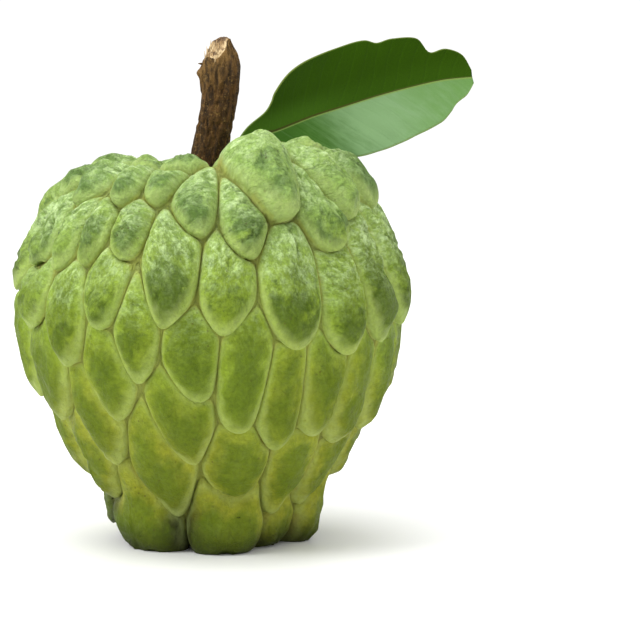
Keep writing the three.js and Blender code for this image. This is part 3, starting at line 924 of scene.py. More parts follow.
@dataclass(frozen=True)
class LeafFinish:
    """The leaf: deep green above the midrib; below it the same surface is painted lighter, with
    pale streaks, as a painted reflection of the light overhead.

    Its ramps read numbers stored on the leaf, in millimetres: along, the distance from the blade's
    foot; across, the distance from the midrib, below zero above it; and margin, the distance from
    the edge. A slant is a distance along that follows the veins.
    """

    deep: Colour = linear(40, 68, 0)
    # Paler green for the upper half's veins, and a painted sheen along the midrib near the foot.
    pale_vein_and_sheen: Colour = linear(62, 98, 20)
    glow_reach: Ramp = Ramp(6.0, 0.5)
    glow_along: Ramp = Ramp(28.0, -4.0, 0.2, 0.95)
    vein_gap: float = 1.75
    upper_vein: Ramp = Ramp(0.3, 0.05, 0.0, 0.07)
    vein_rise: Ramp = Ramp(0.0, 0.6)
    vein_depth: float = 0.06
    waver: Grain = Grain(14.0, 1.0, ramp=Ramp(0.3, 0.7, -0.8, 0.8))

    # The lower half's colours: a painted reflection of the overhead light on the same upper
    # surface, and a darker green near the foot where that painted reflection fades.
    reflecting_green: Colour = linear(90, 128, 64)
    reflection_streak: Colour = linear(112, 144, 98)
    shade: Colour = linear(54, 92, 26)
    strokes: Grain = Grain(1 / 0.45, 4.0, 0.6, ramp=Ramp(0.26, 0.74))
    stroke_length: float = 0.45
    stroke_clouds: Grain = Grain(11.0, 2.0, ramp=Ramp(0.36, 0.6, 0.25, 1.0))
    stroke_sheen: float = 0.5
    stroke_shade: float = 6.0
    sheen_start: Ramp = Ramp(3.0, 18.0, 0.0, 0.9)
    sheen_end: Ramp = Ramp(44.0, 24.0, 0.1, 1.0)
    shade_along: Ramp = Ramp(20.0, 0.0)
    low_vein_gap: float = 3.1
    lower_vein: Ramp = Ramp(0.24, 0.03, 0.0, 0.13)

    halves: Ramp = Ramp(-0.3, 0.3)
    rim: Colour = linear(150, 164, 84)
    rim_margin: Ramp = Ramp(0.3, 0.08, 0.0, 0.35)
    pale_rib: Colour = linear(112, 136, 66)
    pale_rib_place: float = 0.3
    pale_rib_reach: Ramp = Ramp(0.34, 0.16, 0.0, 0.8)
    rib: Colour = linear(62, 68, 22)
    rib_width: Ramp = Ramp(0.0, 45.0, 0.3, 0.14)
    rib_fade: Ramp = Ramp(1.2, 0.7)
    under: Colour = linear(104, 136, 72)
    net_size: float = 0.9
    net_rise: Ramp = Ramp(0.0, 0.12)
    net_depth: float = 0.02
    rough: float = 0.46
    specular: float = 0.045

    def material(self) -> bpy.types.Material:
        """Makes the leaf's material.

        Returns:
            The material.
        """
        shader = Shader("leaf_blade", self.deep)
        across = shader.own("across")
        reach = shader.sums("ABSOLUTE", across)
        slant = shader.sums("SUBTRACT", shader.own("along"), shader.times(reach, VEIN_SLANT))
        slant = shader.plus(slant, shader.grain(self.waver))
        wave = shader.sums("PINGPONG", slant, self.vein_gap)
        # Painted sheen: paler along the midrib near the foot, added to the pale veins.
        glow = shader.ramp(reach, self.glow_reach)
        glow = shader.times(glow, shader.ramp(shader.own("along"), self.glow_along))
        shader.paint(shader.plus(glow, shader.ramp(wave, self.upper_vein)), self.pale_vein_and_sheen)
        # Painted reflection: the lower half is painted lighter than the upper one.
        shader.paint(shader.ramp(across, self.halves), self.reflecting_lower_half(shader, slant, reach))
        shader.paint(shader.ramp(shader.own("margin"), self.rim_margin), self.rim)
        self.midrib(shader)
        shader.paint(shader.own("under"), self.under)
        shader.emboss(shader.ramp(wave, self.vein_rise), self.vein_depth)
        net = shader.cells(self.net_size, Cell.EDGE)
        shader.emboss(shader.ramp(net, self.net_rise), self.net_depth)
        return shader.end(self.rough, Specular_IOR_Level=self.specular)

    def reflecting_lower_half(self, shader: Shader, slant: Socket, reach: Socket) -> Socket:
        """Gives the lower half's painted reflection: lighter green, with soft pale strokes along
        its veins.

        Args:
            shader: the material.
            slant: the distance along that follows the veins.
            reach: the distance from the midrib.

        Returns:
            The colour.
        """
        along = shader.own("along")
        place = shader.tree.nodes.new("ShaderNodeCombineXYZ")
        shader.join(slant, place.inputs["X"])
        shader.join(shader.times(reach, self.stroke_length), place.inputs["Y"])
        strokes = shader.grain(self.strokes, place.outputs["Vector"])
        strokes = shader.times(strokes, shader.grain(self.stroke_clouds))
        # The painted reflection is strongest mid-blade and fades towards the foot and the tip.
        sheen = shader.ramp(along, self.sheen_start)
        sheen = shader.times(sheen, shader.ramp(along, self.sheen_end))
        sheen = shader.plus(sheen, shader.times(strokes, self.stroke_sheen))
        colour = shader.mix(sheen, self.reflecting_green, self.reflection_streak)
        ragged = shader.sums("SUBTRACT", along, shader.times(strokes, self.stroke_shade))
        # Near the foot the painted reflection gives way to a darker green.
        colour = shader.mix(shader.ramp(ragged, self.shade_along), colour, self.shade)
        vein = shader.ramp(shader.sums("PINGPONG", slant, self.low_vein_gap), self.lower_vein)
        return shader.mix(vein, colour, self.reflection_streak)

    def midrib(self, shader: Shader) -> None:
        """Adds the midrib: a thin dark line with a pale one below it.

        Args:
            shader: the material.
        """
        across = shader.own("across")
        beside = shader.sums("ABSOLUTE", shader.sums("SUBTRACT", across, self.pale_rib_place))
        shader.paint(shader.ramp(beside, self.pale_rib_reach), self.pale_rib)
        width = shader.ramp(shader.own("along"), self.rib_width)
        share = shader.sums("DIVIDE", shader.sums("ABSOLUTE", across), width)
        shader.paint(shader.ramp(share, self.rib_fade), self.rib)


@dataclass(frozen=True)
class FloorFinish:
    """The plain pale floor."""

    shade: Colour = (0.92, 0.92, 0.915, 1.0)
    clouded: Colour = (0.85, 0.85, 0.85, 1.0)
    clouds: Grain = Grain(40.0, 2.0)
    cloudiness: float = 0.04
    rough: float = 0.6

    def material(self) -> bpy.types.Material:
        """Makes the floor's material.

        Returns:
            The material.
        """
        shader = Shader("pale_floor", self.shade)
        shader.paint(shader.times(shader.grain(self.clouds), self.cloudiness), self.clouded)
        return shader.end(self.rough)


# ---------------------------------------------------------------------------------------------
# The fruit
# ---------------------------------------------------------------------------------------------


@dataclass(frozen=True)
class Swelling:
    """A swelling of the shoulder round the pit."""

    x: float
    y: float
    spread: float
    rise: float


@dataclass(frozen=True)
class AreoleRow:
    """A row of areoles: its climb, how many stand in it, how plump they are and the placed ones.

    A placed one has its azimuth and climb, and its own plumpness if it differs.
    """

    climb: float
    count: int
    plumper: float
    placed: tuple


@dataclass
class Rind:
    """The surface through the crowns of the areoles, and how it maps to a ball."""

    outline: tuple = (
        (0, 0), (9, 0), (16.6, 0.6), (20.3, 2.8), (22.3, 7), (23.9, 11.5), (28.5, 17), (32.4, 23),
        (36.8, 30.5), (39.9, 38.5), (42.2, 47), (43.3, 55), (41.2, 63), (38.3, 70.8),
        (34.4, 76.8), (29.5, 81.2), (23.6, 83.3), (17, 82.7), (11.5, 79.4), (7.5, 74.5),
        (4.6, 70), (0, 69.5),
    )
    swellings: tuple[Swelling, ...] = (
        Swelling(10, -14, 8.5, 5.2), Swelling(25, -4, 10, 4),
        Swelling(-8, -13, 10, 1.8), Swelling(-1, 17, 8, -2),
    )
    swelling_height: Ramp = Ramp(60, 82)
    widest_climb: float = 74
    height_weight: float = 0.6
    steps: int = 1600
    reach: float = 1.5
    least_radius: float = 0.02
    least_sine: float = 1e-3
    least_scale: float = 2.0
    climb: np.ndarray = field(init=False)
    rho: np.ndarray = field(init=False)
    height: np.ndarray = field(init=False)
    angle: np.ndarray = field(init=False)

    def __post_init__(self) -> None:
        """Measures the section: its climb, radius, height and angle on the ball."""
        curve = smooth_through(self.outline, self.steps)
        self.rho = np.maximum(curve[:, 0], 0)
        self.height = curve[:, 1]
        steps = np.hypot(curve[1:, 0] - self.rho[:-1], np.diff(self.height))
        self.climb = np.concatenate([[0.0], np.cumsum(steps)])
        radius = np.maximum(self.least_radius, (self.rho[1:] + self.rho[:-1]) / 2)
        pull = np.concatenate([[0.0], np.cumsum(steps / radius)])
        middle = np.interp(self.widest_climb, self.climb, pull)
        self.angle = 2 * np.arctan(np.exp(self.height_weight * (pull - middle)))
        self.angle[0] = 0
        self.angle[-1] = math.pi

    def to_ball(self, azimuth: float, climb: float) -> np.ndarray:
        """Gives the direction on the ball that stands for a place on the rind.

        Args:
            azimuth: its angle round the fruit, in degrees.
            climb: its way up along the section, in millimetres.

        Returns:
            The direction.
        """
        turn = math.radians(azimuth)
        angle = float(np.interp(climb, self.climb, self.angle))
        level = math.sin(angle)
        return np.array([level * math.sin(turn), -level * math.cos(turn), -math.cos(angle)])

    def climb_of(self, directions: np.ndarray) -> np.ndarray:
        """Gives the climbs that directions on the ball stand for."""
        return np.interp(np.arccos(np.clip(-directions[..., 2], -1, 1)), self.angle, self.climb)

    def scales(self, climbs: np.ndarray) -> tuple[np.ndarray, np.ndarray]:
        """Gives how many millimetres a radian on the ball is, sideways and upward.

        Args:
            climbs: where, as climbs.

        Returns:
            The two lengths for each climb.
        """
        sine = np.maximum(np.sin(np.interp(climbs, self.climb, self.angle)), self.least_sine)
        sideways = np.interp(climbs, self.climb, self.rho) / sine
        return sideways, np.maximum(sideways, self.least_scale) / self.height_weight

    def points(self, directions: np.ndarray, raises: np.ndarray, slips: np.ndarray) -> np.ndarray:
        """Gives points of the rind.

        Args:
            directions: their directions on the ball.
            raises: how far each stands off the crown surface.
            slips: how far each has slipped down along the rind.

        Returns:
            The points, in millimetres.
        """
        turn = np.arctan2(directions[:, 0], -directions[:, 1])
        climbs = self.climb_of(directions) - slips
        rho = np.interp(climbs, self.climb, self.rho)
        height = np.interp(climbs, self.climb, self.height)
        above, below = climbs + self.reach, climbs - self.reach
        out = np.interp(above, self.climb, self.height) - np.interp(below, self.climb, self.height)
        down = np.interp(above, self.climb, self.rho) - np.interp(below, self.climb, self.rho)
        length = np.hypot(out, down)
        radius = rho + raises * out / length
        x = rho * np.sin(turn)
        y = -rho * np.cos(turn)
        z = height - raises * down / length
        full = self.swelling_height.at(height)
        for lump in self.swellings:
            away = ((x - lump.x) ** 2 + (y - lump.y) ** 2) / (2 * lump.spread**2)
            z = z + lump.rise * np.exp(-away) * full
        return np.stack([radius * np.sin(turn), -radius * np.cos(turn), z], axis=1)


@dataclass
class Areoles:
    """Where the areoles stand, and which of them are neighbours."""

    rind: Rind
    rows: tuple[AreoleRow, ...] = (
        AreoleRow(0, 1, 0, ((0, 0),)),
        AreoleRow(25, 6, 2.3, ((-44, 25), (14, 24), (80, 25))),
        AreoleRow(40, 9, 0.3, ((-60, 41), (-21, 41), (12, 40))),
        AreoleRow(54, 11, 0, ((-44, 53), (-10, 55))),
        AreoleRow(66, 12, 0, ((-64, 63), (-35, 65), (-6, 68))),
        AreoleRow(78, 12, 0, ((-48, 77), (-24, 75))),
        AreoleRow(88, 13, 0, ((-66, 83), (-33, 84), (-13, 88, 1.4), (4, 86))),
        AreoleRow(97, 13, 0, ((-68, 94), (-54, 96), (-42, 97), (-30, 97.5), (-6, 104), (11, 100))),
        AreoleRow(109, 14, 0, (
            (-59, 110), (-38, 110), (-23, 112), (24, 112, 3.6), (43, 101), (57, 109), (82, 108),
        )),
        AreoleRow(121, 8, 0, ((-22, 122), (82, 121))),
        AreoleRow(131, 5, 0, ((20, 131),)),
    )
    seed: int = 7
    azimuth_scatter: float = 0.3
    climb_scatter: float = 4
    crowding_reach: float = 0.4
    crowding_step: float = 0.18
    crowding_rounds: int = 40
    bow_by_climb: Ramp = Ramp(92, 106, 0.52, 0.3)
    plumper_room: float = 0.014
    settle_rounds: int = 8
    settle_swaps: int = 60
    settle_slope: float = 1e-4
    name_digits: int = 4
    centres: np.ndarray = field(init=False)
    plumper: np.ndarray = field(init=False)
    focuses: np.ndarray = field(init=False)
    weights: np.ndarray = field(init=False)

    def __post_init__(self) -> None:
        """Places the areoles row by row and lets them crowd apart."""
        draws = Draws(self.seed)
        centres, fixed, plumper = [], [], []
        for row in self.rows:
            for azimuth, climb, *own in row.placed:
                centres.append(self.rind.to_ball(azimuth, climb))
                fixed.append(True)
                plumper.append(own[0] if own else row.plumper)
            free = row.count - len(row.placed)
            start = row.placed[-1][0]
            step = (row.placed[0][0] + 360 - start) / (free + 1)
            for place in range(1, free + 1):
                azimuth = start + place * step + draws.spread(1) * self.azimuth_scatter * step
                climb = row.climb + draws.spread(self.climb_scatter)
                centres.append(self.rind.to_ball(azimuth, climb))
                fixed.append(False)
                plumper.append(row.plumper)
        self.centres = np.array(centres)
        self.plumper = np.array(plumper)
        free_ones = ~np.array(fixed)
        for _ in range(self.crowding_rounds):
            self.crowd_apart(free_ones)

    def crowd_apart(self, free_ones: np.ndarray) -> None:
        """Lets areoles that stand too close push the free ones apart, once.

        Args:
            free_ones: which areoles may move.
        """
        gaps = self.centres[:, None] - self.centres[None]
        distances = np.linalg.norm(gaps, axis=-1)
        np.fill_diagonal(distances, math.inf)
        push = self.crowding_step * np.maximum(self.crowding_reach - distances, 0) / distances
        moves = (gaps * push[..., None]).sum(axis=1)
        self.centres[free_ones] += moves[free_ones]
        self.centres = in_length(self.centres)

    def tight_skin(self) -> list[Trio]:
        """Wraps a tight skin of triangles round the centres.

        Returns:
            The triangles, each as a set of three areoles.
        """
        knot = Bench.start("areole_wrap", list(self.centres), [])
        Bench.edit(knot)
        bpy.ops.mesh.convex_hull(join_triangles=False)
        Bench.clear()
        number = {self.name(centre): one for one, centre in enumerate(self.centres)}
        names = [number[self.name(vertex.co)] for vertex in knot.data.vertices]
        trios = [frozenset(names[v] for v in face.vertices) for face in knot.data.polygons]
        bpy.data.objects.remove(knot)
        return trios

    def name(self, place: np.ndarray | Vector) -> tuple:
        """Names a place on the ball by its rounded coordinates."""
        return tuple(np.round(np.array(place), self.name_digits))

    def lean(self, trios: list[Trio]) -> None:
        """Sets each areole's focus below its centre, by its bow and its neighbours' distance.

        Args:
            trios: the sets of three neighbours.
        """
        gaps: list = [[] for _ in self.centres]
        for trio in trios:
            for one in trio:
                others = self.centres[list(trio - {one})]
                gaps[one].extend(np.linalg.norm(self.centres[one] - others, axis=1))
        self.focuses = self.centres.copy()
        for one, centre in enumerate(self.centres):
            bow = float(self.bow_by_climb.at(self.rind.climb_of(centre)))
            up = np.array(UP) - centre * centre[2]
            steep = np.linalg.norm(up)
            if steep > self.rind.least_sine:
                moved = centre - up / steep * bow * float(np.mean(gaps[one])) / 2
                self.focuses[one] = in_length(moved)
        bows = self.bow_by_climb.at(self.rind.climb)
        steps = np.diff(self.rind.angle) * (bows[1:] + bows[:-1]) / 2
        grown = np.concatenate([[0.0], np.cumsum(steps)])
        self.weights = np.interp(self.rind.climb_of(self.focuses), self.rind.climb, grown)
        self.weights -= self.plumper_room * self.plumper

    def claim(self, one: int, place: np.ndarray) -> float:
        """Tells how far a place is from being an areole's own: the lowest claim wins."""
        return float(np.linalg.norm(place - self.focuses[one]) + self.weights[one])

    def settle(self, place: np.ndarray, ones: list[int]) -> np.ndarray:
        """Moves a place on the ball to where the claims of two or three areoles are equal.

        Args:
            place: where to start.
            ones: the areoles.

        Returns:
            The settled place.
        """
        for _ in range(self.settle_rounds):
            gaps = place - self.focuses[ones]
            lengths = np.linalg.norm(gaps, axis=1)
            claims = lengths + self.weights[ones]
            ways = gaps / np.maximum(lengths, TINY)[:, None]
            slopes = ways[0] - ways[1:]
            slopes = slopes - np.outer(slopes @ place, place)
            turned = np.linalg.pinv(slopes, rcond=self.settle_slope)
            place = in_length(place - turned @ (claims[0] - claims[1:]))
        return place

    def outlines(self) -> tuple[Meetings, list[list[Trio]]]:
        """Finds where three areoles meet, with their lower ends bowed out over the next ones.

        Returns:
            The meeting places by their three areoles, and each areole's meetings in order.
        """
        trios = self.tight_skin()
        self.lean(trios)
        meetings = {trio: self.settle(self.middle(trio), sorted(trio)) for trio in trios}
        for _ in range(self.settle_swaps):
            if not self.swap_one(meetings):
                break
        around: list = [[] for _ in self.centres]
        for trio in meetings:
            for one in trio:
                around[one].append(trio)
        return meetings, [self.in_order(one, ring, meetings) for one, ring in enumerate(around)]

    def middle(self, trio: Trio) -> np.ndarray:
        """Gives the place on the ball that is equally far from three centres.

        Args:
            trio: the three areoles.

        Returns:
            The place.
        """
        a, b, c = (self.centres[one] for one in sorted(trio))
        way = in_length(np.cross(b - a, c - a))
        return way if way @ a > 0 else -way

    def swap_one(self, meetings: Meetings) -> bool:
        """Swaps one pair of neighbours where a fourth areole claims the place that three share.

        Args:
            meetings: the meeting places by their three areoles, which it changes.

        Returns:
            Whether it found such a pair.
        """
        sides: dict = {}
        for trio in meetings:
            for one in trio:
                sides.setdefault(trio - {one}, []).append(trio)
        for pair, (first, second) in sides.items():
            stranger = next(iter(second - pair))
            own = next(iter(first - pair))
            place = meetings[first]
            if self.claim(stranger, place) < self.claim(own, place) - TINY:
                del meetings[first], meetings[second]
                for one in pair:
                    trio = frozenset((own, stranger, one))
                    meetings[trio] = self.settle(self.middle(trio), sorted(trio))
                return True
        return False

    def in_order(self, one: int, ring: list[Trio], meetings: Meetings) -> list[Trio]:
        """Puts an areole's meetings in order round it, seen from outside.

        Args:
            one: the areole.
            ring: its meetings.
            meetings: the meeting places by their three areoles.

        Returns:
            The meetings in order.
        """
        centre = self.focuses[one]
        ahead = np.cross(UP, centre)
        if np.linalg.norm(ahead) < self.rind.least_sine:
            ahead = np.array([1.0, 0.0, 0.0])
        side = np.cross(centre, ahead)
        turns = {trio: math.atan2(meetings[trio] @ side, meetings[trio] @ ahead) for trio in ring}
        return sorted(ring, key=turns.get)


@dataclass(frozen=True)
class Wrinkles:
    """The rind's dents, and the folds and creases that run along each areole.

    Each size is in millimetres: along the folds and across them, where it has two.
    """

    dents: tuple = ((8.0, 0.6), (3.4, 0.42))
    wander_size: float = 5.0
    wander: float = 2.2
    wander_shift: float = 3.0
    crease_size: tuple = (9.0, 2.9)
    crease_narrowness: float = 4.2
    crease_depth: float = 0.85
    fold_size: tuple = (4.5, 1.5)
    fold_height: float = 0.5

    def dent(self, point: np.ndarray) -> float:
        """Gives how far the dents raise a point of the rind."""
        place = Vector(point)
        return sum(noise.noise(place / size) * height for size, height in self.dents)

    def fold(self, along: float, across: float, own: float) -> float:
        """Gives how far the folds and creases raise a place on an areole.

        Args:
            along: its distance along the folds from the areole's middle.
            across: its distance across them.
            own: the areole's own number, which sets its folds apart.

        Returns:
            The height, in millimetres.
        """
        size = self.wander_size
        wander = noise.noise(Vector((along / size, across / size, own + self.wander_shift)))
        bent = across + wander * self.wander
        long, wide = self.crease_size
        depth = abs(noise.noise(Vector((along / long, bent / wide, own))))
        crease = max(0.0, 1 - depth * self.crease_narrowness)
        long, wide = self.fold_size
        fold = noise.noise(Vector((along / long, bent / wide, own)))
        return fold * self.fold_height - crease * self.crease_depth


@dataclass
class Fruit:
    """The fruit: its rind of plump areoles, whose lower ends bow out over the next ones."""

    rind: Rind = field(default_factory=Rind)
    wrinkles: Wrinkles = Wrinkles()
    groove_step: float = 4.0
    ring_shares: tuple = (0.09, 0.25, 0.52)
    inset: float = 0.0004
    fineness: int = 2
    groove_mark: float = 0.999
    bend_depth: float = 0.016
    bend_rate: float = 3.4
    bend_seed: int = 7
    neighbour_reach: float = 0.75
    corner_sharpness: float = 1.15
    lip_reach: float = 12
    lip_limit: float = 1.4
    lip_rise: float = 1.1
    lip_slip: float = 1.3
    slip_edge: float = 0.9
    slip_width: float = 0.7
    pad_reach: float = 6.4
    pad_lean: float = 2.6
    plumper_reach: float = 0.9
    pad_roundness: float = 0.6
    plumper_roundness: float = 0.05
    groove_depth: Ramp = Ramp(84, 98, 2.4, 3.2)
    crown_rise: Ramp = Ramp(80, 95, 0.7, 0.9)
    crown_spread: float = 0.6
    wrinkle_turn: float = 0.9
    level_share: Ramp = Ramp(84, 98, 0.5, 0.85)
    areole_gap: float = 7.3
    fold_climb: Ramp = Ramp(70, 96, 0.3, 1.0)
    wrinkle_edge: Ramp = Ramp(0.3, 1.7, 0.2, 1.0)
    detail_seed: int = 7126

    def cage(self, areoles: Areoles) -> bpy.types.Object:
        """Lays out the areoles' outlines on the ball, and rings inside each of them.

        Args:
            areoles: where the areoles stand.

        Returns:
            The cage.
        """
        meetings, outlines = areoles.outlines()
        number = {trio: i for i, trio in enumerate(meetings)}
        points = list(meetings.values())
        grooves: dict = {}
        faces = []
        for outline in outlines:
            face = []
            for place, start in enumerate(outline):
                end = outline[(place + 1) % len(outline)]
                face.append(number[start])
                ends = tuple(sorted((number[start], number[end])))
                if ends not in grooves:
                    grooves[ends] = self.groove(points, ends, areoles, sorted(start & end))
                between = grooves[ends]
                face.extend(between if number[start] == ends[0] else between[::-1])
            faces.append(face)
        cage = Bench.start("custard_apple_fruit", points, faces)
        owners = cage.data.attributes.new(name="owner", type="INT", domain="FACE")
        owners.data.foreach_set("value", list(range(len(faces))))
        Bench.edit(cage, "FACE")
        bpy.ops.mesh.normals_make_consistent(inside=False)
        inner = 0.0
        for share in self.ring_shares:
            bpy.ops.mesh.inset(thickness=self.inset, depth=0, use_individual=True)
            self.draw_in(cage, (share - inner) / (1 - inner))
            inner = share
        Bench.clear()
        Bench.note(cage, groove=np.arange(len(cage.data.vertices)) < len(points))
        return cage

    def groove(self, points: list, ends: tuple, areoles: Areoles, sides: list) -> list:
        """Adds the points of a groove between two corners.

        Args:
            points: all the cage's points so far, which new ones join.
            ends: the numbers of the two corners.
            areoles: where the areoles stand.
            sides: the areoles on its two sides.

        Returns:
            The numbers of the points between the corners.
        """
        a, b = points[ends[0]], points[ends[1]]
        flat = self.rind.points(np.array([a, b]), np.zeros(2), np.zeros(2))
        steps = max(1, round(float(np.linalg.norm(flat[1] - flat[0])) / self.groove_step))
        between = []
        for step in range(1, steps):
            points.append(areoles.settle(in_length(a + (b - a) * step / steps), sides))
            between.append(len(points) - 1)
        return between

    @staticmethod
    def draw_in(cage: bpy.types.Object, share: float) -> None:
        """Draws the selected faces' points in towards each face's middle by a share.

        Args:
            cage: the cage, in edit mode.
            share: how much of the way they go.
        """
        mesh = bmesh.from_edit_mesh(cage.data)
        for face in mesh.faces:
            if face.select:
                middle = face.calc_center_median()
                for vertex in face.verts:
                    vertex.co = vertex.co.lerp(middle, share)
        bmesh.update_edit_mesh(cage.data)

    @staticmethod
    def owners(piece: bpy.types.Object) -> np.ndarray:
        """Gives the number of the areole that each point belongs to, from the faces round it.

        Args:
            piece: the fruit's mesh.

        Returns:
            The areole's number for each point.
        """
        mesh = piece.data
        numbers = np.empty(len(mesh.polygons), dtype=np.int32)
        mesh.attributes["owner"].data.foreach_get("value", numbers)
        sizes = np.empty(len(mesh.polygons), dtype=np.int32)
        mesh.polygons.foreach_get("loop_total", sizes)
        corners = np.empty(len(mesh.loops), dtype=np.int32)
        mesh.loops.foreach_get("vertex_index", corners)
        owner = np.zeros(len(mesh.vertices), dtype=int)
        owner[corners] = np.repeat(numbers, sizes)
        return owner

    def groove_distance(self, directions: np.ndarray, areoles: Areoles,
                        owner: np.ndarray) -> np.ndarray:
        """Measures how far each point lies from the grooves round its areole.

        Args:
            directions: the points on the ball.
            areoles: where the areoles stand.
            owner: each point's areole.

        Returns:
            The distances in millimetres, rounded off at the corners.
        """
        sideways, upward = self.rind.scales(self.rind.climb_of(directions))
        turn = np.arctan2(directions[:, 0], -directions[:, 1])
        east = np.stack([np.cos(turn), np.sin(turn), np.zeros_like(turn)], axis=1)
        north = np.cross(directions, east)
        north[north[:, 2] < 0] *= -1
        distance = np.zeros(len(directions))
        for one, focus in enumerate(areoles.focuses):
            mine = np.nonzero(owner == one)[0]
            own = directions[mine] - focus
            sharp = np.zeros(len(mine))
            apart = np.linalg.norm(areoles.focuses - focus, axis=1)
            for other in np.nonzero(apart < self.neighbour_reach)[0]:
                if other == one:
                    continue
                away = directions[mine] - areoles.focuses[other]
                length = np.linalg.norm(away, axis=1)
                claim = length + areoles.weights[other] - areoles.weights[one]
                gap = (claim**2 - (own**2).sum(axis=1)) / (2 * apart[other])
                slope = (away * (claim / np.maximum(length, TINY))[:, None] - own) / apart[other]
                steep = np.hypot(
                    (east[mine] * slope).sum(axis=1) / sideways[mine],
                    (north[mine] * slope).sum(axis=1) / upward[mine],
                )
                reach = np.maximum(gap, 0) / np.maximum(steep, TINY)
                sharp += np.exp(-self.corner_sharpness * reach)
            distance[mine] = -np.log(sharp) / self.corner_sharpness
        return np.maximum(distance, 0)

    def bend(self, directions: np.ndarray) -> np.ndarray:
        """Bends the pattern a little, so that no groove runs straight.

        Args:
            directions: places on the ball.

        Returns:
            The bent places.
        """
        # Without a seed, the vector noise differs from run to run.
        noise.seed_set(self.bend_seed)
        bent = np.array([noise.noise_vector(Vector(d) * self.bend_rate) for d in directions])
        return in_length(directions + self.bend_depth * bent)

    def local(self, directions: np.ndarray, areoles: Areoles, owner: np.ndarray) -> np.ndarray:
        """Gives each point's place on its own areole, turned so that its wrinkles run along x.

        Args:
            directions: the points on the ball.
            areoles: where the areoles stand.
            owner: each point's areole.

        Returns:
            The distance along the wrinkles, across them, and a number for the areole.
        """
        draws = Draws(self.detail_seed)
        turns = np.array([draws.spread(self.wrinkle_turn) for _ in areoles.centres])
        chances = np.array([draws.next() for _ in areoles.centres])
        climbs = self.rind.climb_of(directions)
        own_climbs = self.rind.climb_of(areoles.centres)
        turns += np.where(chances > self.level_share.at(own_climbs), math.pi / 2, 0)
        azimuth = np.arctan2(directions[:, 0], -directions[:, 1])
        own_azimuth = np.arctan2(areoles.centres[:, 0], -areoles.centres[:, 1])
        gap = (azimuth - own_azimuth[owner] + math.pi) % math.tau - math.pi
        around = gap * np.interp(climbs, self.rind.climb, self.rind.rho)
        up = climbs - own_climbs[owner]
        turn = turns[owner]
        along = around * np.cos(turn) + up * np.sin(turn)
        across = up * np.cos(turn) - around * np.sin(turn)
        return np.stack([along, across, owner * self.areole_gap], axis=1)

    def pads(self, areoles: Areoles, owner: np.ndarray, climbs: np.ndarray, edge: np.ndarray,
             lip: np.ndarray, crowns: np.ndarray) -> np.ndarray:
        """Works out the areoles' plump shapes.

        Args:
            areoles: where the areoles stand.
            owner: each point's areole.
            climbs: each point's climb.
            edge: its distance from a groove.
            lip: its place between its areole's ends.
            crowns: how far its areole stands out more than others.

        Returns:
            How far each point is raised off the crown surface, in millimetres.
        """
        plumper = areoles.plumper[owner]
        reach = self.pad_reach - self.pad_lean * np.clip(lip, -1, 1) + self.plumper_reach * plumper
        share = np.minimum(edge / reach, 1)
        roundness = self.pad_roundness - self.plumper_roundness * plumper
        pad = (1 - (1 - share) ** 2) ** roundness
        crown = self.crown_rise.at(climbs) + crowns + plumper
        depth = self.groove_depth.at(climbs)
        return -depth + pad * (depth + crown) + self.lip_rise * lip * pad

    def creases(self, points: np.ndarray, local: np.ndarray, climbs: np.ndarray,
                edge: np.ndarray) -> np.ndarray:
        """Works out the dents, creases and wrinkles of the rind.

        Args:
            points: the rind's points.
            local: their places on their own areoles.
            climbs: their climbs.
            edge: their distances from a groove.

        Returns:
            How far each point is raised, in millimetres.
        """
        dents = np.array([self.wrinkles.dent(point) for point in points])
        folds = np.array([self.wrinkles.fold(*place) for place in local])
        raises = dents + folds * self.fold_climb.at(climbs)
        return raises * self.wrinkle_edge.at(edge)

    def build(self, finish: RindFinish) -> bpy.types.Object:
        """Models the fruit and dresses it.

        Args:
            finish: the rind's finish.

        Returns:
            The finished piece.
        """
        areoles = Areoles(self.rind)
        piece = self.cage(areoles)
        Bench.modify(piece, "SUBSURF", subdivision_type="SIMPLE", levels=self.fineness,
                     render_levels=self.fineness)
        directions = in_length(Bench.coordinates(piece))
        owner = self.owners(piece)
        edge = self.groove_distance(directions, areoles, owner)
        edge[Bench.noted(piece, "groove") > self.groove_mark] = 0
        draws = Draws(self.detail_seed)
        tone = np.array([draws.next() for _ in areoles.centres])[owner]
        crowns = np.array([draws.spread(self.crown_spread) for _ in areoles.centres])[owner]
        climbs = self.rind.climb_of(directions)
        own_climb = self.rind.climb_of(areoles.centres)[owner]
        lip = np.clip((own_climb - climbs) / self.lip_reach, -self.lip_limit, self.lip_limit)
        local = self.local(directions, areoles, owner)

        bent = self.bend(directions)
        raises = self.pads(areoles, owner, climbs, edge, lip, crowns)
        smooth = self.rind.points(bent, raises, np.zeros(len(bent)))
        raises += self.creases(smooth, local, climbs, edge)
        slip = np.exp(-(((edge - self.slip_edge) / self.slip_width) ** 2))
        slip *= self.lip_slip * np.clip(lip, 0, 1)
        placed = self.rind.points(bent, raises, slip)
        placed[:, 2] = np.maximum(placed[:, 2], 0)
        Bench.place(piece, placed)
        Bench.note(piece, edge=edge, climb=climbs / self.rind.climb[-1], lip=lip, tone=tone,
                   local=local)
        Bench.dress(piece, finish.material())
        Bench.finish(piece, Slot.SKIN, "fruit")
        return piece


# ---------------------------------------------------------------------------------------------
# The stem
# ---------------------------------------------------------------------------------------------


@dataclass(frozen=True)
class BarkNoise:
    """A pattern on the bark: how quickly it changes round the stem, its length and its height."""

    rate: float
    length: float
    height: float
    shift: float = 0.0

    def at(self, x: float, y: float, height: float) -> float:
        """Gives the pattern, from -1 to 1, on one side of the stem and at a height."""
        return ring_noise(x, y, self.rate, height / self.length + self.shift)


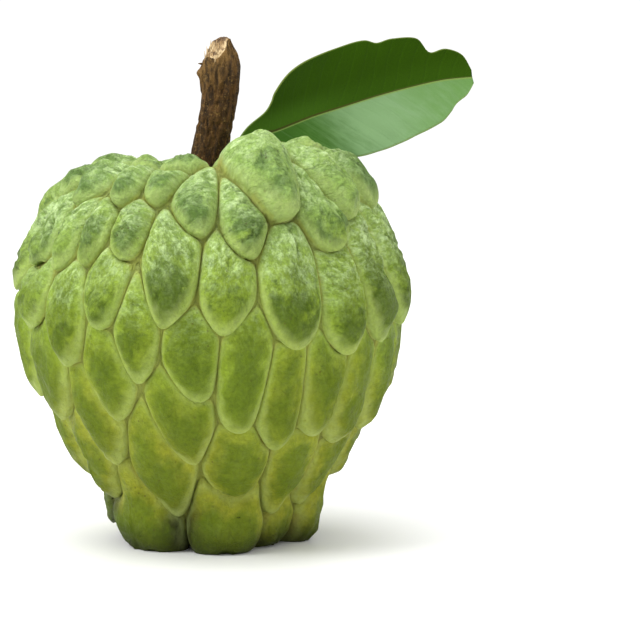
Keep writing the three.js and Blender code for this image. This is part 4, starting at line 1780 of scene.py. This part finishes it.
@dataclass(frozen=True)
class Splinters:
    """The torn fibres on the broken side, and one dark spur of bark.

    Each pair is a least and a most.
    """

    seed: int = 11
    count: int = 22
    spread: float = 1.8
    lean: float = 0.5
    sunk: float = 0.5
    depth: tuple = (0.45, 0.95)
    length: tuple = (1.0, 2.7)
    radius: tuple = (0.14, 0.32)
    sides: int = 6
    tip: float = 0.2
    climb: float = 0.9
    spur_turn: float = math.radians(192)
    spur_along: float = 0.985
    spur_inset: Triple = (0.6, 0.0, 0.0)
    spur_way: Triple = (-1.0, -0.25, 0.12)
    spur_length: float = 1.9
    spur_radius: float = 0.5


@dataclass
class Stem:
    """The woody stem: fissured bark, a knot and a torn end with pale fibres."""

    axis: tuple = (
        (-1.2, 0, 67.5), (-1, 0, 76), (-0.4, 0, 84), (1.6, 0, 95), (2.3, 0, 104), (2.8, 0, 110.6),
    )
    axis_steps: int = 60
    radii: tuple = (4.6, 4.3, 4.0, 4.05, 4.25, 4.0)
    sides: int = 80
    rings: int = 96
    low_rim: float = 104.8
    high_rim: float = 109.9
    torn_side: float = math.radians(204)
    torn_width: Ramp = Ramp(0.3, 0.95)
    torn_rings: int = 9
    rag: float = 0.9
    rag_rate: float = 2.6
    rag_shift: float = 5.0
    least_ragged: float = 0.2
    plates: BarkNoise = BarkNoise(4.2, 5.5, 0.34)
    knobs: BarkNoise = BarkNoise(9, 2.2, 0.2)
    swells: BarkNoise = BarkNoise(1.6, 7, 0.35)
    fissures: BarkNoise = BarkNoise(6, 9, 0.5, 4)
    fissure_narrowness: float = 5
    knot: float = 0.8
    knot_height: float = 102.6
    knot_length: float = 0.9
    knot_width: float = 0.36
    scar: float = 0.3
    scar_height: float = 91.5
    scar_length: float = 0.45
    worn_height: Ramp = Ramp(101, 111)
    worn: float = 0.72
    wood_top: Triple = (2.5, 0.4, 110.3)
    wood_steepness: float = 1.4
    wood_depth: float = 5
    wood_edge: float = 0.95
    bark_edge: float = 0.999
    fibre_sets: tuple = ((5.5, 2.0, 0.8), (13, 7.0, 0.5))
    fibre_rise: float = 1.7
    fibre_lean: float = 0.16
    chip_rate: float = 0.9
    chip_shift: float = 2.7
    chip_rise: float = 0.7
    splinters: Splinters = Splinters()
    line: np.ndarray = field(init=False)

    def __post_init__(self) -> None:
        """Draws the smooth line through the axis."""
        self.line = smooth_through(self.axis, self.axis_steps)

    def rim_height(self, turn: float) -> float:
        """Gives the height of the bark's torn rim at an angle round the stem.

        Args:
            turn: the angle, in radians.

        Returns:
            The height, in millimetres.
        """
        torn = float(self.torn_width.at((1 + math.cos(turn - self.torn_side)) / 2))
        rag = ring_noise(math.cos(turn), math.sin(turn), self.rag_rate, self.rag_shift) * self.rag
        return self.high_rim + (self.low_rim - self.high_rim) * torn + rag * self.ragged(torn)

    def ragged(self, torn: float) -> float:
        """Gives how ragged the broken end is where it is torn away by a share."""
        return self.least_ragged + (1 - self.least_ragged) * torn

    def bark(self, turn: float, along: float) -> np.ndarray:
        """Gives a point of the bark.

        Args:
            turn: the angle round it, 0 at the right.
            along: the share of the way from its foot to the torn rim.

        Returns:
            The point, in millimetres.
        """
        foot = self.line[0, 2]
        height = foot + (self.rim_height(turn) - foot) * along
        share = np.interp(height, self.line[:, 2], np.linspace(0, 1, len(self.line)))
        middle = np.interp(height, self.line[:, 2], self.line[:, 0])
        radius = float(spline_point(np.array(self.radii), float(share)))
        x, y = math.cos(turn), math.sin(turn)
        radius *= 1 - self.worn * float(self.worn_height.at(height)) ** 2 * (1 + x) / 2
        reach = radius + self.bark_rise(turn, height)
        return np.array([middle + reach * x, reach * y, height])

    def bark_rise(self, turn: float, height: float) -> float:
        """Works out the bark's plates, knobs, fissures, knot and scar.

        Args:
            turn: the angle round the stem.
            height: the height above the floor.

        Returns:
            How far the bark is raised, in millimetres.
        """
        x, y = math.cos(turn), math.sin(turn)
        plates = self.plates.at(x, y, height)
        rise = plates * self.plates.height
        for pattern in (self.knobs, self.swells):
            rise += pattern.at(x, y, height) * pattern.height
        depth = abs(self.fissures.at(x, y, height))
        rise -= max(0.0, 1 - depth * self.fissure_narrowness) * self.fissures.height
        beside = (turn % math.tau - math.pi) / self.knot_width
        above = (height - self.knot_height) / self.knot_length
        rise += self.knot * math.exp(-(beside**2) - above**2)
        above = (height - self.scar_height - plates) / self.scar_length
        return rise - self.scar * math.exp(-(above**2))

    def wood(self, turn: float, depth: float) -> np.ndarray:
        """Gives a point of the torn wood.

        Args:
            turn: the angle round it.
            depth: 1 at the bark and 0 in the middle.

        Returns:
            The point, in millimetres.
        """
        rim = self.bark(turn, 1.0)
        top = np.array(self.wood_top)
        x, y = math.cos(turn), math.sin(turn)
        fibre = sum(ring_noise(x, y, rate, shift) * rise for rate, shift, rise in self.fibre_sets)
        point = top + (rim - top) * depth
        chip = ring_noise(point[0], point[1], self.chip_rate, self.chip_shift) * self.chip_rise
        torn = top[2] - rim[2]
        middle = 1 - abs(2 * depth - 1)
        point[2] = rim[2] + torn * (1 - depth**self.wood_steepness)
        rough = middle * self.ragged(torn / self.wood_depth)
        point[2] += (fibre * self.fibre_rise + chip) * rough
        point[:2] += (rim[:2] - top[:2]) * fibre * self.fibre_lean * middle
        return point

    def base(self, turn: float, depth: float) -> np.ndarray:
        """Gives a point of the hidden flat foot.

        Args:
            turn: its angle round the stem.
            depth: how far in it is, from 0 to 1.

        Returns:
            The point.
        """
        rim = self.bark(turn, 0.0)
        middle = self.line[0, 0]
        return np.array([middle + (rim[0] - middle) * depth, rim[1] * depth, rim[2]])

    def build(self, bark: BarkFinish, torn: TornWoodFinish) -> bpy.types.Object:
        """Models the stem and dresses it.

        Args:
            bark: the bark's finish.
            torn: the torn wood's finish.

        Returns:
            The finished piece.
        """
        piece = Bench.rod(self.sides, self.rings, "NGON")
        piece.name = piece.data.name = "custard_apple_stem"
        bpy.ops.mesh.select_mode(type="FACE")
        Bench.choose(Parts.FACES, lambda face: len(face.verts) > 4)
        for _ in range(self.torn_rings):
            bpy.ops.mesh.inset(thickness=1 / (self.torn_rings + 1), use_individual=True)
        bpy.ops.mesh.poke()
        Bench.clear()

        rod = Bench.coordinates(piece)
        turns = np.arctan2(rod[:, 1], rod[:, 0])
        depths = np.minimum(np.hypot(rod[:, 0], rod[:, 1]), 1)
        alongs = rod[:, 2] + 0.5
        placed = []
        for turn, depth, along in zip(turns, depths, alongs):
            if depth > self.bark_edge:
                placed.append(self.bark(turn, along))
            elif along > 0.5:
                placed.append(self.wood(turn, depth))
            else:
                placed.append(self.base(turn, depth))
        Bench.place(piece, placed)
        Bench.note(piece, climb=alongs, depth=depths)
        Bench.dress(piece, bark.material(), torn.material())
        inner = (depths < self.wood_edge) & (alongs > 0.5)
        for face in piece.data.polygons:
            face.material_index = int(all(inner[vertex] for vertex in face.vertices))
        self.add_splinters(piece)
        Bench.finish(piece, Slot.BARK, "stem")
        return piece

    def add_splinters(self, piece: bpy.types.Object) -> None:
        """Adds torn fibres on the broken side, and one dark spur of bark, joined to the stem.

        Args:
            piece: the stem.
        """
        plan = self.splinters
        draws = Draws(plan.seed)
        fibres = []
        for _ in range(plan.count):
            turn = self.torn_side + draws.spread(plan.spread)
            foot = self.wood(turn, draws.between(*plan.depth))
            leans = draws.spread(plan.lean), draws.spread(plan.lean)
            way = np.array([math.cos(turn) * leans[0], math.sin(turn) * leans[1], 1.0])
            length, radius = draws.between(*plan.length), draws.between(*plan.radius)
            fibres.append(self.splinter(foot - way * plan.sunk, way, length, radius, 1))
        foot = self.bark(plan.spur_turn, plan.spur_along) + np.array(plan.spur_inset)
        way = np.array(plan.spur_way)
        fibres.append(self.splinter(foot, way, plan.spur_length, plan.spur_radius, 0))
        for fibre in fibres:
            Bench.dress(fibre, *piece.data.materials)
        Bench.merge(piece, fibres)

    def splinter(self, foot: np.ndarray, way: np.ndarray, length: float, radius: float,
                 finish: int) -> bpy.types.Object:
        """Makes one splinter.

        Args:
            foot: where it starts.
            way: where it points.
            length: its length.
            radius: its radius at the foot.
            finish: the number of its material on the stem.

        Returns:
            The splinter.
        """
        plan = self.splinters
        Bench.clear()
        bpy.ops.mesh.primitive_cone_add(
            vertices=plan.sides, radius1=radius, radius2=radius * plan.tip, depth=length,
        )
        piece = bpy.context.object
        cone = Bench.coordinates(piece) + np.array([0, 0, length / 2])
        turn = Vector(way).to_track_quat("Z", "Y").to_matrix()
        Bench.place(piece, cone @ np.array(turn).T + foot)
        marks = np.full(len(cone), plan.climb)
        Bench.note(piece, climb=marks, depth=marks)
        for face in piece.data.polygons:
            face.material_index = finish
        return piece


# ---------------------------------------------------------------------------------------------
# The leaf
# ---------------------------------------------------------------------------------------------


@dataclass
class Leaf:
    """The leaf: a blade folded along its midrib, with lobed edges, on a short stalk.

    Its widths are pairs of a distance along the blade and a width there, on each side.
    """

    midrib: tuple = (
        (3.3, 3.4, 83.4), (8.5, 8.5, 87.6), (14.6, 13, 89.2), (22.5, 18.5, 91.9), (29.8, 23, 93.9),
        (37.4, 27, 96), (44.9, 30, 97.8), (52.4, 32.5, 99.3), (59.3, 34, 99.9),
    )
    upper_width: tuple = (
        (-12, 1.0), (-8, 2.4), (-3, 4.4), (0, 6.2), (2, 8.2), (7, 11.1), (13.6, 12.5), (22.4, 13),
        (27.6, 12.8), (30.4, 11.5), (34, 11.6), (39.6, 10.4), (41.8, 6.7), (45.3, 6.9), (48.8, 5.1),
        (50.6, 1.6),
    )
    lower_width: tuple = (
        (-12, 1.0), (-3, 2.4), (1, 4.8), (5, 7.8), (9, 10.4), (14, 12.8), (23.5, 13.4), (32, 12.5),
        (40, 10.5), (45.7, 6.6), (48.6, 4.6), (50.6, 1.8),
    )
    upper_lean: Triple = (0, 0.15, 1)
    lower_lean: Triple = (0, -0.62, -0.78)
    front: Triple = (0.1, -0.75, 0.6)
    length: float = 50.6
    thickness: float = 0.4
    sections: int = 150
    columns: int = 56
    curve_steps: int = 600
    look_ahead: float = 0.4
    vein_spacing: float = 6.2
    vein_wave: float = 0.16
    vein_reach: Ramp = Ramp(1, 7)
    upper_vein_share: float = 0.35
    ripple_length: float = 13
    ripple_rate: float = 1.2
    ripple_shift: float = 3.0
    ripple_reach: Ramp = Ramp(2, 12, 0.0, 1.2)
    rib_share: float = 0.985
    rib_radius: Ramp = Ramp(-10, 50.6, 0.95, 0.266)
    rib_sink: Ramp = Ramp(-9, 0, 0.0, 0.75)
    rib_sides: int = 12
    rib_steps: int = 90
    rib_margin: float = 9.0
    upper_edge: np.ndarray = field(init=False)
    lower_edge: np.ndarray = field(init=False)
    line: np.ndarray = field(init=False)
    travelled: np.ndarray = field(init=False)

    def __post_init__(self) -> None:
        """Draws smooth edges through the widths and a smooth line through the midrib."""
        self.upper_edge = smooth_through(self.upper_width, self.curve_steps)
        self.lower_edge = smooth_through(self.lower_width, self.curve_steps)
        self.line = smooth_through(self.midrib, self.curve_steps)
        steps = np.linalg.norm(np.diff(self.line, axis=0), axis=1)
        self.travelled = np.concatenate([[0.0], np.cumsum(steps)])

    def on_midrib(self, distance: float) -> np.ndarray:
        """Gives the point at a distance along the midrib and its stalk."""
        return np.array([np.interp(distance, self.travelled, self.line[:, k]) for k in range(3)])

    @staticmethod
    def square_to(ahead: np.ndarray, lean: Triple) -> np.ndarray:
        """Gives the way, one long, that is nearest to a lean and square to another way."""
        return in_length(np.array(lean, dtype=float) - ahead * (np.array(lean) @ ahead))

    def sheet_point(self, share: float, across: float) -> tuple:
        """Gives a point of the leaf's middle surface.

        Args:
            share: how far along the leaf, from 0 at the stem to 1 at the tip.
            across: from -1 at the upper edge to 1 at the lower edge.

        Returns:
            The point, the distances along the blade and from the midrib, and how far its edge is.
        """
        distance = share * self.travelled[-1]
        along = distance - (self.travelled[-1] - self.length)
        before = self.on_midrib(distance - self.look_ahead)
        ahead = in_length(self.on_midrib(distance + self.look_ahead) - before)
        above = across < 0
        way = self.square_to(ahead, self.upper_lean if above else self.lower_lean)
        face = np.cross(ahead, self.square_to(ahead, self.upper_lean))
        widths = self.upper_edge if above else self.lower_edge
        wide = float(np.interp(along, widths[:, 0], widths[:, 1]))
        reach = abs(across) * wide
        deep = self.vein_wave * (self.upper_vein_share if above else 1.0)
        slant = along - VEIN_SLANT * reach
        wave = deep * self.vein_reach.at(reach) * math.sin(math.tau * slant / self.vein_spacing)
        spot = (along / self.ripple_length, across * self.ripple_rate, self.ripple_shift)
        ripple = noise.noise(Vector(spot)) * self.ripple_reach.at(reach)
        placed = self.on_midrib(distance) + way * reach + face * (wave + ripple)
        return placed, along, math.copysign(reach, across), wide - reach

    def rib_point(self, x: float, y: float, share: float) -> tuple:
        """Gives a point of the stalk and the midrib under the blade.

        Args:
            x: its place across the rib, upward, in the rib's radius.
            y: its place across the rib, backward.
            share: how far along the rib.

        Returns:
            The point, and the distance along the blade.
        """
        distance = share * self.travelled[-1] * self.rib_share
        along = distance - (self.travelled[-1] - self.length)
        point = self.on_midrib(distance)
        ahead = in_length(self.on_midrib(distance + self.look_ahead) - point)
        up = self.square_to(ahead, self.upper_lean)
        face = np.cross(ahead, up)
        radius = self.rib_radius.at(along)
        sunk = radius * self.rib_sink.at(along)
        return point + (up * x + face * y) * radius - face * sunk, along

    def build(self, finish: LeafFinish) -> bpy.types.Object:
        """Models the leaf and dresses it.

        Args:
            finish: the blade's finish.

        Returns:
            The finished piece.
        """
        Bench.clear()
        bpy.ops.mesh.primitive_grid_add(
            x_subdivisions=self.sections, y_subdivisions=self.columns, size=2,
        )
        piece = bpy.context.object
        piece.name = piece.data.name = "custard_apple_leaf"
        sheet = [self.sheet_point((x + 1) / 2, -y) for x, y, _ in Bench.coordinates(piece)]
        points, along, across, margin = (np.array(values) for values in zip(*sheet))
        Bench.place(piece, points)
        Bench.note(piece, along=along, across=across, margin=margin)
        Bench.modify(piece, "SOLIDIFY", thickness=self.thickness * MM, offset=0)
        self.add_rib(piece)
        self.mark_underside(piece)
        Bench.dress(piece, finish.material())
        Bench.finish(piece, Slot.LEAF, "leaf")
        return piece

    def add_rib(self, piece: bpy.types.Object) -> None:
        """Adds the round stalk, which runs on under the blade as the midrib.

        Args:
            piece: the leaf.
        """
        rib = Bench.rod(self.rib_sides, self.rib_steps, "TRIFAN")
        Bench.clear()
        made = [self.rib_point(x, y, z + 0.5) for x, y, z in Bench.coordinates(rib)]
        points, along = (np.array(values) for values in zip(*made))
        Bench.place(rib, points)
        margin = np.full(len(along), self.rib_margin)
        Bench.note(rib, along=along, across=np.zeros(len(along)), margin=margin)
        Bench.merge(piece, [rib])

    def mark_underside(self, piece: bpy.types.Object) -> None:
        """Stores which points are on the leaf's back, for the finish to read.

        Args:
            piece: the leaf.
        """
        normals = np.empty(len(piece.data.vertices) * 3)
        piece.data.vertices.foreach_get("normal", normals)
        behind = normals.reshape(-1, 3) @ np.array(self.front) < 0
        Bench.note(piece, under=behind.astype(float))


# ---------------------------------------------------------------------------------------------
# The studio
# ---------------------------------------------------------------------------------------------


@dataclass(frozen=True)
class Lamp:
    """A square soft light that faces the fruit: its place and side in metres, its watts."""

    name: str
    place: Triple
    size: float
    power: float


@dataclass
class Studio:
    """A plain pale floor, plain soft light and the camera, in metres."""

    target: Triple = (0.0, 0.0, 0.045)
    distance: float = 0.8
    elevation: float = 7.0
    lens: float = 204.75
    sensor: float = 36.0
    target_pixel: tuple = (211.0, 334.94)
    frame_pixels: float = 640.0
    floor_size: float = 1.7
    sky: Ramp = Ramp(0.12, 0.4, 1.06, 0.94)
    lamps: tuple[Lamp, ...] = (
        Lamp("overhead", (-0.12, 0.1, 1.25), 1.1, 12.0),
        Lamp("upper_left", (-0.8, -0.5, 0.9), 0.5, 8.0),
    )

    def floor(self, finish: FloorFinish) -> None:
        """Lays the floor.

        Args:
            finish: its finish.
        """
        Bench.clear()
        bpy.ops.mesh.primitive_plane_add(size=self.floor_size, location=(0, 0, 0))
        piece = bpy.context.object
        piece.name = "floor"
        Bench.dress(piece, finish.material())

    def hang(self, name: str, data: object, place: Vector, way: Vector) -> bpy.types.Object:
        """Puts a lamp or a camera in the room.

        Args:
            name: its name.
            data: the lamp or the camera.
            place: where it hangs.
            way: where it looks.

        Returns:
            Its object.
        """
        holder = bpy.data.objects.new(name, data)
        bpy.context.scene.collection.objects.link(holder)
        holder.location = place
        holder.rotation_euler = way.to_track_quat("-Z", "Y").to_euler()
        return holder

    def light(self, plan: Lamp) -> None:
        """Hangs a lamp that faces the fruit.

        Args:
            plan: the lamp's place, size and light.
        """
        lamp = bpy.data.lights.new(plan.name, "AREA")
        lamp.size = plan.size
        lamp.energy = plan.power
        place = Vector(plan.place)
        self.hang(plan.name, lamp, place, Vector(self.target) - place)

    def world(self) -> None:
        """Fills the room with plain light: white up to the horizon and softer overhead."""
        world = bpy.data.worlds.new("white_room")
        world.use_nodes = True
        tree = world.node_tree
        background = tree.nodes["Background"]
        background.inputs["Color"].default_value = (1, 1, 1, 1)
        split = tree.nodes.new("ShaderNodeSeparateXYZ")
        ways = tree.nodes.new("ShaderNodeTexCoord").outputs["Generated"]
        tree.links.new(ways, split.inputs[0])
        fade = ramp_in(tree, split.outputs["Z"], self.sky)
        tree.links.new(fade, background.inputs["Strength"])
        bpy.context.scene.world = world
        bpy.context.scene.view_settings.view_transform = "Standard"

    def camera(self) -> None:
        """Sets the camera at its viewing angle, with the fruit left of the middle."""
        lift = math.radians(self.elevation)
        away = Vector((0, -math.cos(lift), math.sin(lift)))
        camera = bpy.data.cameras.new("camera")
        camera.lens = self.lens
        camera.sensor_width = self.sensor
        half = self.frame_pixels / 2
        camera.shift_x = (half - self.target_pixel[0]) / self.frame_pixels
        camera.shift_y = (self.target_pixel[1] - half) / self.frame_pixels
        place = Vector(self.target) + away * self.distance
        bpy.context.scene.camera = self.hang("camera", camera, place, -away)

    def build(self, finish: FloorFinish) -> None:
        """Sets up the whole studio.

        Args:
            finish: the floor's finish.
        """
        self.camera()
        self.world()
        self.floor(finish)
        for lamp in self.lamps:
            self.light(lamp)
        LOG.info("studio: a floor and %d lamps", len(self.lamps))


def main() -> None:
    """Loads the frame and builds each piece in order."""
    logging.basicConfig(level=logging.INFO, format="%(name)s: %(message)s")
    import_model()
    Studio().build(FloorFinish())
    Fruit().build(RindFinish())
    Stem().build(BarkFinish(), TornWoodFinish())
    Leaf().build(LeafFinish())
    Bench.clear()


if __name__ == "__main__":
    main()
